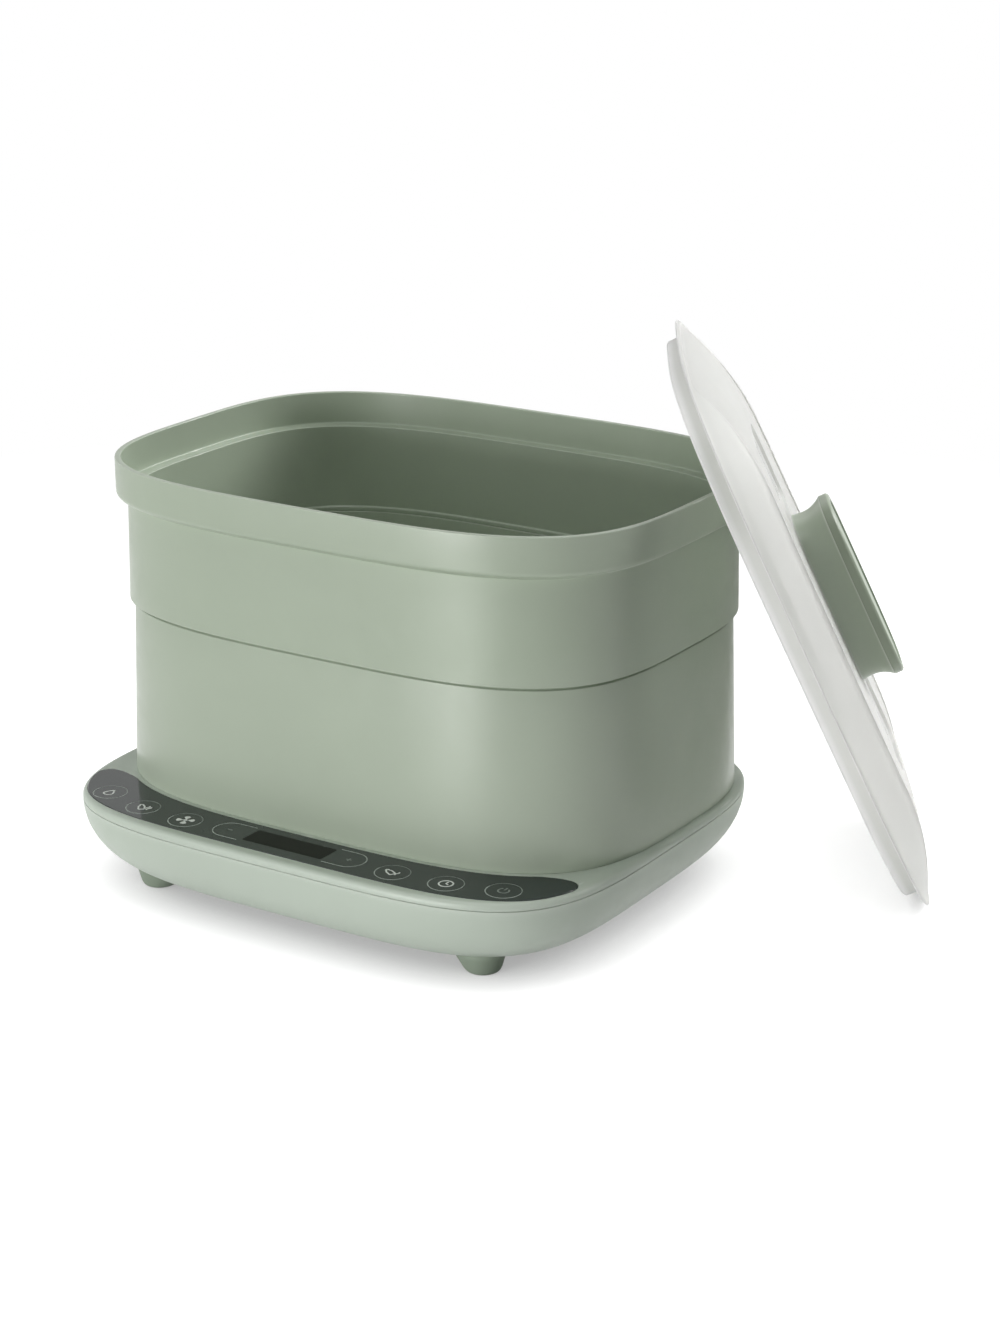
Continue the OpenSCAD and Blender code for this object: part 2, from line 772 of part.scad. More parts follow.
// all that lies under the arched top, which is flat in the middle and falls in a parabola to each end
module under_arch(drop) {
  foot = lip_h + rim_t + 0.3 - drop;
  run = lid_a - 10 - top_flat;
  side = [for (k = [0 : 8]) [top_flat + run * k / 8, foot + (lid_h - drop - foot) * (1 - pow(k / 8, 2))]];
  rotate([90, 0, 0])
    linear_extrude(3 * lid_a, center = true)
      polygon(concat([[-lid_a - 2, -2], [lid_a + 2, -2], [lid_a + 2, foot]], [for (k = [8 : -1 : 0]) side[k]],
                     [for (p = side) [-p[0], p[1]]], [[-lid_a - 2, foot]]));
}

// steam vent pocket beside the handle, pressed into the flat top
module pocket(s, grow, z, h) {
  translate([s * 69, 0, z])
    linear_extrude(h)
      polygon(ring(22 + grow, 27 + grow, 5, seg_s));
}

module lid_shell() {
  inner = lip_in + lid_t;
  start = (inner - 1.4 - 5) / (top_in - 5);
  color([0.9, 0.91, 0.92, 0.6])
  lid_place()
  difference() {
    union() {
      difference() {
        intersection() {
          loft([lid_ring(lip_in + 0.7, 0), lid_ring(lip_in, 0.9), lid_ring(lip_in, lip_h), lid_ring(0.6, lip_h),
                lid_ring(0, lip_h + 0.8), lid_ring(0, lip_h + rim_t - 1.2), lid_ring(1.2, lip_h + rim_t - 0.1),
                lid_ring(slope_in(0), slope_z(0)), lid_ring(slope_in(1.1), slope_z(1.1))]);
          under_arch(0);
        }
        intersection() {
          loft([lid_ring(inner, -1), lid_ring(inner, slope_z(start) - lid_t),
                lid_ring(slope_in(1.1) + 1.4, slope_z(1.1) - lid_t)]);
          under_arch(lid_t);
        }
      }
      for (s = [-1, 1]) pocket(s, lid_t, lid_in - pocket_h, lid_t + pocket_h - 1);
    }
    for (s = [-1, 1]) pocket(s, 0, lid_h - pocket_cut, 20);
    for (s = [-1, 1]) for (k = [-2 : 2]) box(s * 69, 9 * k, 0, 28, 3, 60);
    for (s = [-1, 1]) rod(s * 26, 0, 0, screw_r + 0.4, 60);
  }
}

// flared grip, hollow below, screwed on from inside the lid
module lid_handle() {
  top = grip_h + grip_band;
  color([0.64, 0.7, 0.62])
  lid_place()
  translate([0, 0, lid_h])
  difference() {
    loft([for (i = [0 : 8])
      let (s = i / 8, inset = grip_in * (1 - pow(abs(2 * s - 0.7) / 1.3, 2.2) * (s > 0.35 ? 1 : 1.6)))
      [grip_a - inset, grip_b - inset, 3.4, grip_h * s, 0]], seg_s);
    difference() {
      translate([0, 0, -1]) linear_extrude(grip_h - 2)
        polygon(ring(grip_a - grip_in - 3, grip_b - grip_in - 3, 3.4, seg_s));
      for (s = [-1, 1]) rod(s * 26, 0, -2, 4.5, 40);
    }
    for (s = [-1, 1]) rod(s * 26, 0, -1, screw_r + pilot_gap, 13);
  }
}

// top band and plate of the grip
module handle_cap() {
  color([0.55, 0.61, 0.52])
  lid_place()
  translate([0, 0, lid_h + grip_h])
  difference() {
    loft([[grip_a, grip_b, 3.4, 0, 0], [grip_a, grip_b, 3.4, grip_band - 1, 0],
          [grip_a - 1, grip_b - 1, 3.4, grip_band, 0]], seg_s);
    translate([0, 0, grip_band - 0.8]) linear_extrude(4)
      polygon(ring(grip_a - 3.4, grip_b - 3.4, 3.4, seg_s));
  }
}

module handle_screw(s) {
  color([0.6, 0.6, 0.6])
  lid_place()
  union() {
    rod(s * 26, 0, lid_in - head_h, head_r, head_h);
    rod(s * 26, 0, lid_in - eps, screw_r, lid_t + 9);
  }
}
module handle_screw_1() { handle_screw(-1); }
module handle_screw_2() { handle_screw(1); }

base_shell();
base_deck();
foot_front_left();
foot_front_right();
foot_back_left();
foot_back_right();
control_panel();
display_window();
display_module();
touch_board();
heater_gasket();
heating_plate();
heating_element();
heater_bracket();
thermal_cutout();
temperature_probe();
fan_housing();
fan_cover();
fan_motor();
impeller();
air_duct();
air_heater();
outlet_grille();
filter_frame();
filter_cover();
filter_element();
power_board();
mains_inlet();
base_screw_1();
base_screw_2();
base_screw_3();
base_screw_4();
lower_tub();
bottle_rack();
upper_tub();
lid_shell();
lid_handle();
handle_cap();
handle_screw_1();
handle_screw_2();
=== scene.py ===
"""Counter-top steam steriliser and dryer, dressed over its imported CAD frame. Metres, +Z up, front towards -Y."""
from math import cos, pi, radians, sin

import bpy
import numpy as np
from mathutils import Matrix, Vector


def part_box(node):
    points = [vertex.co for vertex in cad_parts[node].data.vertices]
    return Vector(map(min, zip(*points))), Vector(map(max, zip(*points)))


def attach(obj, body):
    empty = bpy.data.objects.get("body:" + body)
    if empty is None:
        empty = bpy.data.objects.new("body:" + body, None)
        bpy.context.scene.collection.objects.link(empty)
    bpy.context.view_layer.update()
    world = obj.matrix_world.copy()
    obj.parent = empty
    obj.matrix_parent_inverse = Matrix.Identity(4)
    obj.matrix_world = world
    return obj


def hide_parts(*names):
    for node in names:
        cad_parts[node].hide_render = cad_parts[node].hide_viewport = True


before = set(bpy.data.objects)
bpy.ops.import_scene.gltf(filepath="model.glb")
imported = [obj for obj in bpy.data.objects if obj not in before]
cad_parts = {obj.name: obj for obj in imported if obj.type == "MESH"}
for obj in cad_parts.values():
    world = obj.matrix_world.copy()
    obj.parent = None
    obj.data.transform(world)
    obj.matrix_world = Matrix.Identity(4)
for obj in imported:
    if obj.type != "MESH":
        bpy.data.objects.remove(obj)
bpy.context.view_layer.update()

# ---- Lower shell of the base
# Pale sage shell, injection moulded with a fine satin texture, whose wall rolls in under the base along a
# quarter ellipse. The deck closes it at a fine seam; the rear is open for the filter drawer and the inlet.
shell_low, shell_high = np.array(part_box("base_shell"))
shell_z = shell_low[2]
seam_z = shell_high[2]
base_a = shell_high[0]
base_b = (shell_high[1] - shell_low[1]) / 2
base_yc = (shell_high[1] + shell_low[1]) / 2
base_n = 4.2
end_roll = 1.12
shell_run = 0.031
shell_t = 0.0028
shell_sag = 0.0008
inside_run = shell_run - 0.0014
sole_in = shell_run + 0.004
floor_in = shell_run + 0.006
seam_cut, seam_half = 0.0007, 0.0004
seam_ease = (seam_cut * 0.2, seam_half * 0.5)
outline_columns = 192
curve_rows = 25
sharp_edge = radians(32)


def oval(a, b, n, columns=outline_columns):
    """Superellipse |x/a|^n + |y/b|^n = 1 as xy points, one per equal step of the angle t.

    The distance towards t is (|cos t|^n + |sin t|^n)^(-1/n), stretched by a and b, which hold one value per row.
    """
    t = np.arange(columns) * 2 * np.pi / columns
    reach = (np.abs(np.cos(t)) ** n + np.abs(np.sin(t)) ** n) ** (-1 / n)
    return np.stack([np.multiply.outer(a, reach * np.cos(t)), np.multiply.outer(b, reach * np.sin(t))], -1)


def raised(flat, z):
    """Rows of xy points lifted to one height per row."""
    return np.concatenate([flat, np.broadcast_to(np.asarray(z)[:, None, None], flat.shape[:2] + (1,))], -1)


def base_rows(profile):
    """The base outline carried along a profile of (inset, z) points: superellipses, drawn in more at the ends."""
    inset, z = np.asarray(profile).T
    return raised(oval(base_a - end_roll * inset, base_b - inset, base_n) + [0, base_yc], z)


def eased(points, radius, steps=4, closed=True):
    """A polyline with each corner P rounded: (1-t)^2 A + 2t(1-t) P + t^2 B, where A and B lie on the two sides at
    the radius from P, or half a side away where that is shorter. An open line keeps its two ends."""
    p = np.asarray(points, float)
    radius = np.broadcast_to(radius, len(p))[:, None]
    back = np.roll(p, 1, 0) - p
    ahead = np.roll(p, -1, 0) - p
    reach_a = np.linalg.norm(back, axis=1, keepdims=True)
    reach_b = np.linalg.norm(ahead, axis=1, keepdims=True)
    a = p + back * np.minimum(radius / np.maximum(reach_a, 1e-9), 0.48)
    b = p + ahead * np.minimum(radius / np.maximum(reach_b, 1e-9), 0.48)
    t = np.linspace(0, 1, steps + 1)[None, :, None]
    bends = (1 - t) ** 2 * a[:, None] + 2 * t * (1 - t) * p[:, None] + t ** 2 * b[:, None]
    if closed:
        return bends.reshape(-1, p.shape[1])
    return np.concatenate([p[:1], bends[1:-1].reshape(-1, p.shape[1]), p[-1:]])


def skin(rows, loop=False):
    """Vertices and faces of a closed skin through rows[i, j, xyz]. Columns j run round the piece and meet.

    With loop the last row meets the first, as on a wall with an inside; otherwise the first and the last row are
    each closed by a fan of triangles to their own middle. The sign of the enclosed volume turns the faces outward.
    """
    m, k = rows.shape[:2]
    i, j = np.meshgrid(np.arange(m if loop else m - 1), np.arange(k), indexing="ij")
    up, on = (i + 1) % m, (j + 1) % k
    quads = np.stack([i * k + j, i * k + on, up * k + on, up * k + j], -1).reshape(-1, 4)
    points = rows.reshape(-1, 3)
    faces = quads.tolist()
    if not loop:
        points = np.concatenate([points, rows[:1].mean(1), rows[-1:].mean(1)])
        j = np.arange(k)
        on = (j + 1) % k
        first = np.stack([np.full(k, m * k), on, j], -1)
        last = np.stack([(m - 1) * k + j, (m - 1) * k + on, np.full(k, m * k + 1)], -1)
        faces += first.tolist() + last.tolist()
        quads = np.concatenate([quads, first[:, [0, 1, 2, 2]], last[:, [0, 1, 2, 2]]])
    a, b, c, d = points[quads].transpose(1, 0, 2)
    if np.sum(a * (np.cross(b, c) + np.cross(c, d))) < 0:
        faces = [face[::-1] for face in faces]
    return points, faces


def joined(skins):
    """Several closed skins as one list of vertices and faces."""
    starts = np.cumsum([0] + [len(points) for points, _ in skins])
    faces = [[v + start for v in face] for start, (_, some) in zip(starts, skins) for face in some]
    return np.concatenate([points for points, _ in skins]), faces


def make_object(name, shape):
    """An object at the origin whose mesh holds the given vertices and faces."""
    mesh = bpy.data.meshes.new(name)
    mesh.from_pydata(np.asarray(shape[0]).tolist(), [], shape[1])
    made = bpy.data.objects.new(name, mesh)
    bpy.context.collection.objects.link(made)
    return made


def carve(target, shape, operation="DIFFERENCE"):
    """Cuts a closed skin out of the target, or joins it on, with an exact boolean; the result is its mesh."""
    tool = make_object("carving_tool", shape)
    change = target.modifiers.new("carve", "BOOLEAN")
    change.object = tool
    change.solver = "EXACT"
    change.operation = operation
    bpy.context.view_layer.update()
    ready = target.evaluated_get(bpy.context.evaluated_depsgraph_get())
    result = bpy.data.meshes.new_from_object(ready)
    assert len(result.vertices), f"nothing left of {target.name}"
    target.modifiers.clear()
    target.data = result
    bpy.data.objects.remove(tool)


def block(low, high):
    """A box as four columns round two rows, for straight cuts."""
    (x0, y0, z0), (x1, y1, z1) = low, high
    ring = np.array([[x0, y0], [x1, y0], [x1, y1], [x0, y1]])
    return skin(raised(np.stack([ring, ring]), [z0, z1]))


def turned(profile, middle, columns=64):
    """A turned form: each (radius, z) of the profile is one circle about the upright through middle."""
    radius, z = np.asarray(profile).T
    return raised(oval(radius, radius, 2, columns) + np.asarray(middle)[:2], z)


def finish_piece(made, body, material, nodes=()):
    """Smooth faces with the edges above the sharp angle kept, the material, the body it rides on, its nodes."""
    mesh = made.data
    mesh.shade_smooth()
    mesh.set_sharp_from_angle(angle=sharp_edge)
    mesh.materials.clear()
    mesh.materials.append(material)
    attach(made, body)
    if nodes:
        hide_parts(*nodes)


def add(tree, kind, inputs=(), **settings):
    """One shader node: settings are its properties; inputs pairs a socket's name or number with a value or link."""
    made = tree.nodes.new(kind)
    for key, value in settings.items():
        setattr(made, key, value)
    for key, value in dict(inputs).items():
        if isinstance(value, bpy.types.NodeSocket):
            tree.links.new(value, made.inputs[key])
        else:
            made.inputs[key].default_value = value
    return made


def effect_group(name, takes, gives):
    """An empty shader group with named inputs and outputs, each given as name: (socket type, default)."""
    tree = bpy.data.node_groups.new(name, "ShaderNodeTree")
    for direction, sockets in (("INPUT", takes), ("OUTPUT", gives)):
        for key, (kind, value) in sockets.items():
            socket = tree.interface.new_socket(key, in_out=direction, socket_type="NodeSocket" + kind)
            if value is not None:
                socket.default_value = value
    return tree, tree.nodes.new("NodeGroupInput").outputs, tree.nodes.new("NodeGroupOutput").inputs


def ranged(tree, value, low, high, to_low, to_high):
    """A value mapped from one range to another and held inside it."""
    return add(tree, "ShaderNodeMapRange", {"Value": value, "From Min": low, "From Max": high, "To Min": to_low,
                                            "To Max": to_high}).outputs["Result"]


def blend(tree, factor, one, other):
    """Two colours mixed by a factor."""
    mix = add(tree, "ShaderNodeMix", {0: factor, 6: one, 7: other}, data_type="RGBA")
    return mix.outputs[2]


# moulding grain and painted edge highlight: fine texture in the height, slow drift of the tint, uneven gloss, and
# convex edges painted paler as a highlight
edge_highlight_tint = (0.86, 0.88, 0.84, 1)
grain_and_highlight, takes, gives = effect_group(
    "moulding_grain_and_edge_highlight",
    {"Color": ("Color", (0.5, 0.5, 0.5, 1)), "Gloss": ("Float", 0.4), "Drift": ("Float", 0.03),
     "EdgeHighlight": ("Float", 0.1), "Fineness": ("Float", 900.0)},
    {"Color": ("Color", None), "Roughness": ("Float", None), "Height": ("Float", None)})
place = add(grain_and_highlight, "ShaderNodeTexCoord").outputs["Object"]
texture = add(grain_and_highlight, "ShaderNodeTexNoise", {"Vector": place, "Scale": takes["Fineness"], "Detail": 2.0})
cloud = add(grain_and_highlight, "ShaderNodeTexNoise", {"Vector": place, "Scale": 14.0, "Detail": 4.0})
smear = add(grain_and_highlight, "ShaderNodeTexNoise", {"Vector": place, "Scale": 90.0, "Detail": 3.0, "Distortion": 0.6})
drift = add(grain_and_highlight, "ShaderNodeMath", {0: ranged(grain_and_highlight, cloud.outputs["Fac"], 0.3, 0.7, -1.0, 1.0),
                                      1: takes["Drift"], 2: 1.0}, operation="MULTIPLY_ADD").outputs[0]
tinted = add(grain_and_highlight, "ShaderNodeVectorMath", {0: takes["Color"], "Scale": drift}, operation="SCALE").outputs[0]
# painted highlight: convex edges, found by pointiness, are blended towards a pale tint
edge = ranged(grain_and_highlight, add(grain_and_highlight, "ShaderNodeNewGeometry").outputs["Pointiness"], 0.51, 0.58, 0.0, 1.0)
painted_edge_highlight = add(grain_and_highlight, "ShaderNodeMath", {0: edge, 1: takes["EdgeHighlight"]}, operation="MULTIPLY").outputs[0]
grain_and_highlight.links.new(blend(grain_and_highlight, painted_edge_highlight, tinted, edge_highlight_tint), gives["Color"])
uneven = add(grain_and_highlight, "ShaderNodeMath", {0: ranged(grain_and_highlight, smear.outputs["Fac"], 0.3, 0.7, -0.05, 0.07),
                                       1: takes["Gloss"]}, operation="ADD").outputs[0]
grain_and_highlight.links.new(uneven, gives["Roughness"])
grain_and_highlight.links.new(texture.outputs["Fac"], gives["Height"])


def srgb(red, green, blue):
    """A colour given in 0 to 255 sRGB, as linear light with full alpha."""
    c = np.array([red, green, blue]) / 255
    return (*np.where(c > 0.04045, ((c + 0.055) / 1.055) ** 2.4, c / 12.92).tolist(), 1.0)


def new_material(name):
    """A material with an empty tree; returns it with its tree and a Principled BSDF wired to the output."""
    made = bpy.data.materials.new(name)
    made.use_nodes = True
    tree = made.node_tree
    tree.nodes.clear()
    shader = tree.nodes.new("ShaderNodeBsdfPrincipled")
    output = tree.nodes.new("ShaderNodeOutputMaterial")
    tree.links.new(shader.outputs[0], output.inputs[0])
    return made, tree, shader


def plastic(name, color, gloss=0.42, drift=0.025, edge_highlight=0.12, fineness=900.0, depth=0.00004, **fixed):
    """Moulded plastic or rubber: grain in colour, roughness and bump, painted edge highlight; fixed sets shader
    sockets.
    """
    made, tree, shader = new_material(name)
    mould = add(tree, "ShaderNodeGroup", node_tree=grain_and_highlight)
    for key, value in (("Color", color), ("Gloss", gloss), ("Drift", drift), ("EdgeHighlight", edge_highlight),
                       ("Fineness", fineness)):
        mould.inputs[key].default_value = value
    bump = add(tree, "ShaderNodeBump", {"Height": mould.outputs["Height"], "Strength": 0.35, "Distance": depth})
    tree.links.new(mould.outputs["Color"], shader.inputs["Base Color"])
    tree.links.new(mould.outputs["Roughness"], shader.inputs["Roughness"])
    tree.links.new(bump.outputs["Normal"], shader.inputs["Normal"])
    for key, value in fixed.items():
        shader.inputs[key.replace("_", " ")].default_value = value
    return made


pale_sage = plastic("pale_sage_satin", srgb(186, 197, 184), gloss=0.4, edge_highlight=0.3)

roll = np.linspace(0, pi / 2, curve_rows)
outside_h = seam_z - shell_z + shell_sag
inside_h = seam_z - shell_z - shell_t
shell_outside = np.stack([shell_run * (1 - np.sin(roll)), seam_z - outside_h * np.cos(roll)], -1)
shell_inside = np.stack([shell_t + inside_run * (1 - np.sin(roll)), seam_z - inside_h * np.cos(roll)], -1)
seam_edge = np.array([[0, seam_z - seam_half], [seam_ease[0], seam_z - seam_ease[1]], [seam_cut, seam_z],
                      [shell_t, seam_z]])
shell_profile = np.concatenate([[[sole_in, shell_z]], shell_outside[:-1], seam_edge, shell_inside[::-1],
                                [[floor_in, shell_z + shell_t]]])
base_shell = make_object("base_shell_skin", skin(base_rows(shell_profile)))
drawer_low, drawer_high = np.array(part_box("filter_cover"))
inlet_low, inlet_high = np.array(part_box("mains_inlet"))
drawer_gap = 0.00035
drawer_from = drawer_low[1] + 0.01
inlet_from = inlet_high[1] - 0.02
past_wall = 0.01
hole_r, hole_from, hole_seat = 0.0042, shell_z - 0.001, 0.003
screws = [np.array(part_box(f"base_screw_{i}")) for i in (1, 2, 3, 4)]
screw_holes = [skin(turned([(hole_r, hole_from), (hole_r, screw[0][2] + hole_seat)], screw.mean(0), 32))
               for screw in screws]
carve(base_shell, joined([
    block([drawer_low[0] - drawer_gap, drawer_from, drawer_low[2] - drawer_gap],
          [drawer_high[0] + drawer_gap, drawer_high[1] + past_wall, drawer_high[2] + drawer_gap]),
    block([inlet_low[0], inlet_from, inlet_low[2]],
          [inlet_high[0], inlet_high[1] + past_wall, inlet_high[2]])] + screw_holes))
finish_piece(base_shell, "base", pale_sage, ["base_shell"])

# ---- Feet
# Four small sage feet in soft rubber, round in section with the inner flank sloped and the sole rounded, pressed
# into pockets of the shell.
foot_rubber = plastic("foot_rubber_sage", srgb(134, 146, 130), gloss=0.62, drift=0.04, edge_highlight=0.05, fineness=1400.0)
sole_flat_in, sole_edge_in, sole_round = 0.0048, 0.0026, 0.001
flank_in, flank_h, flare = 0.0014, 0.0016, 0.0006
foot_slope = 0.0045
for corner in ("front_left", "front_right", "back_left", "back_right"):
    low, high = np.array(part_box(f"foot_{corner}"))
    middle = (low + high) / 2
    side = np.sign(low[0])
    foot_r = (high[0] - low[0]) / 2
    profile = eased([(foot_r - sole_flat_in, low[2]), (foot_r - sole_edge_in, low[2]),
                     (foot_r - flank_in, low[2] + flank_h), (foot_r + flare, shell_z), (foot_r, high[2])],
                    sole_round, closed=False)
    rows = turned(profile, middle)
    inner = np.clip(-side * (rows[..., 0] - middle[0]) / foot_r, 0, 1)
    rows[..., 0] -= side * foot_slope * inner * np.clip((rows[..., 2] - low[2]) / shell_z, 0, 1)
    foot = make_object(f"foot_{corner}_moulded", skin(rows))
    finish_piece(foot, "base", foot_rubber, [f"foot_{corner}"])

# ---- Boiler, blower and boards inside the base
# The hidden works keep their CAD shapes: boards in green lacquer, blower parts in grey and white mouldings,
# heating coils in dull metal, screws in zinc-plated steel.
brushed, takes, gives = effect_group(
    "brushed_metal",
    {"Color": ("Color", (0.6, 0.6, 0.6, 1)), "Gloss": ("Float", 0.3), "Stretch": ("Vector", (1, 1, 1))},
    {"Color": ("Color", None), "Roughness": ("Float", None), "Height": ("Float", None)})
place = add(brushed, "ShaderNodeTexCoord").outputs["Object"]
drawn = add(brushed, "ShaderNodeVectorMath", {0: place, 1: takes["Stretch"]}, operation="MULTIPLY").outputs[0]
lines = add(brushed, "ShaderNodeTexNoise", {"Vector": drawn, "Scale": 60.0, "Detail": 5.0})
stain = add(brushed, "ShaderNodeTexNoise", {"Vector": place, "Scale": 30.0, "Detail": 3.0})
shade = ranged(brushed, stain.outputs["Fac"], 0.3, 0.7, 0.86, 1.08)
toned = add(brushed, "ShaderNodeVectorMath", {0: takes["Color"], "Scale": shade}, operation="SCALE").outputs[0]
brushed.links.new(toned, gives["Color"])
uneven = add(brushed, "ShaderNodeMath", {0: ranged(brushed, lines.outputs["Fac"], 0.3, 0.7, -0.08, 0.12),
                                         1: takes["Gloss"]}, operation="ADD").outputs[0]
brushed.links.new(uneven, gives["Roughness"])
brushed.links.new(lines.outputs["Fac"], gives["Height"])


def metal(name, color, gloss, stretch):
    """Drawn or brushed metal: streaks along the short axis of stretch in roughness and bump, slow staining."""
    made, tree, shader = new_material(name)
    finish = add(tree, "ShaderNodeGroup", node_tree=brushed)
    for key, value in (("Color", color), ("Gloss", gloss), ("Stretch", stretch)):
        finish.inputs[key].default_value = value
    bump = add(tree, "ShaderNodeBump", {"Height": finish.outputs["Height"], "Strength": 0.2, "Distance": 0.00005})
    tree.links.new(finish.outputs["Color"], shader.inputs["Base Color"])
    tree.links.new(finish.outputs["Roughness"], shader.inputs["Roughness"])
    tree.links.new(bump.outputs["Normal"], shader.inputs["Normal"])
    shader.inputs["Metallic"].default_value = 1.0
    return made


def patterned(name, color, other, texture, amount, gloss=0.5):
    """Two colours mixed by one texture node of the material's own, which also gives the bump."""
    made, tree, shader = new_material(name)
    place = add(tree, "ShaderNodeTexCoord").outputs["Object"]
    kind, values, output = texture
    drawn = add(tree, kind, {"Vector": place, **values}).outputs[output]
    mixed = blend(tree, ranged(tree, drawn, amount[0], amount[1], 0.0, 1.0), color, other)
    bump = add(tree, "ShaderNodeBump", {"Height": drawn, "Strength": 0.3, "Distance": 0.0001})
    tree.links.new(mixed, shader.inputs["Base Color"])
    tree.links.new(ranged(tree, drawn, 0.2, 0.8, gloss - 0.08, gloss + 0.1), shader.inputs["Roughness"])
    tree.links.new(bump.outputs["Normal"], shader.inputs["Normal"])
    return made


def dress(material, *nodes):
    """Gives carried-over CAD nodes their material."""
    for name in nodes:
        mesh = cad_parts[name].data
        mesh.materials.clear()
        mesh.materials.append(material)


steel = metal("zinc_steel", srgb(176, 178, 180), 0.34, (1.0, 1.0, 12.0))
element_metal = metal("coil_metal", srgb(112, 108, 104), 0.5, (6.0, 6.0, 1.0))
board_green = patterned("board_lacquer", srgb(22, 78, 46), srgb(40, 112, 62),
                        ("ShaderNodeTexBrick", {"Scale": 160.0, "Mortar Size": 0.03}, "Fac"), (0.2, 0.8), 0.3)
black_plastic = plastic("black_moulding", srgb(38, 38, 40), gloss=0.5, edge_highlight=0.04)
grey_plastic = plastic("grey_moulding", srgb(92, 95, 97), gloss=0.5, edge_highlight=0.05)
white_plastic = plastic("white_moulding", srgb(226, 229, 225), gloss=0.42, drift=0.015, edge_highlight=0.05)
seal_rubber = plastic("seal_silicone", srgb(196, 196, 190), gloss=0.6, drift=0.03, edge_highlight=0.0)
filter_media = patterned("filter_fleece", srgb(236, 236, 230), srgb(206, 207, 200),
                         ("ShaderNodeTexNoise", {"Scale": 700.0, "Detail": 6.0, "Distortion": 2.0}, "Fac"),
                         (0.35, 0.65), 0.85)
dress(steel, "heater_bracket", "base_screw_1", "base_screw_2", "base_screw_3", "base_screw_4")
dress(element_metal, "heating_element", "air_heater")
dress(board_green, "touch_board", "power_board")
dress(black_plastic, "display_module", "thermal_cutout", "fan_motor", "mains_inlet")
dress(grey_plastic, "fan_housing", "fan_cover", "air_duct", "filter_frame")
dress(white_plastic, "impeller", "temperature_probe")
dress(seal_rubber, "heater_gasket")
dress(filter_media, "filter_element")

# ---- Deck
# Pale sage top of the base, moulded with a rounded lip above the seam and a low collar that centres the tub.
# The panel recess, the boiler opening and the warm air outlet are moulded in; it is screwed on from below.
grille_low, grille_high = np.array(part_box("outlet_grille"))
grille_rise = 0.0016
deck_z = grille_high[2] - grille_rise
deck_under = deck_z - 0.003
deck_h = deck_z - seam_z
under_in = 0.0075
skirt_in, skirt_out = 0.0058, 0.0036
skirt_z = seam_z - 0.004
skirt = np.array([[skirt_in, deck_under], [skirt_in, skirt_z], [skirt_out, skirt_z], [skirt_out, seam_z],
                  [seam_cut, seam_z], [seam_ease[0], seam_z + seam_ease[1]]])
lip_run = 0.0048
lip_square = 0.6
lip_from = radians(2.5)
turn = np.linspace(lip_from, pi / 2, curve_rows)
lip = np.stack([lip_run * (1 - np.cos(turn) ** lip_square), seam_z + deck_h * np.sin(turn) ** lip_square], -1)
deck_in = np.array([lip_run + 0.0006, 0.009, 0.014, 0.022, 0.034, 0.05, 0.07, 0.095])
deck_top = np.stack([deck_in, np.full(len(deck_in), deck_z)], -1)
deck_profile = np.concatenate([[[under_in, deck_under]], skirt, lip, deck_top])
tub_n = 3.5
tub_d = 0.039


def tub_rows(profile):
    """The tub outline carried along a profile of (half length, z) points; the half width is tub_d less."""
    a, z = np.asarray(profile).T
    return raised(oval(a, a - tub_d, tub_n), z)


_, low_tub_high = np.array(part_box("lower_tub"))
low_bot_a = low_tub_high[0]
wall = 0.0026
slip = 0.0004
collar_a = low_bot_a - wall - slip
collar_t, collar_round = 0.0024, 0.0007
collar_low, collar_top = deck_z - 0.0002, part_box("base_deck")[1][2]
collar = eased([(collar_a - collar_t, collar_low), (collar_a, collar_low), (collar_a, collar_top),
                (collar_a - collar_t, collar_top)], collar_round)
deck = make_object("base_deck_skin", skin(base_rows(deck_profile)))

panel_low, panel_high = np.array(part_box("control_panel"))
panel_end = -panel_high[1]
panel_in = 0.0065
panel_side = 0.0034
panel_n = 4.8
panel_strip = 0.0025
panel_corner = 0.0085
panel_gap = 0.00015
panel_columns = 241
dish_low, dish_high = np.array(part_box("heating_plate"))
dish_mid = (dish_low + dish_high) / 2
dish_rim = (dish_high[0] - dish_low[0]) / 2
dish_hole = dish_rim - 0.0048
grille_ledge = 0.003
cut_low, cut_high = seam_z - past_wall, deck_z + past_wall


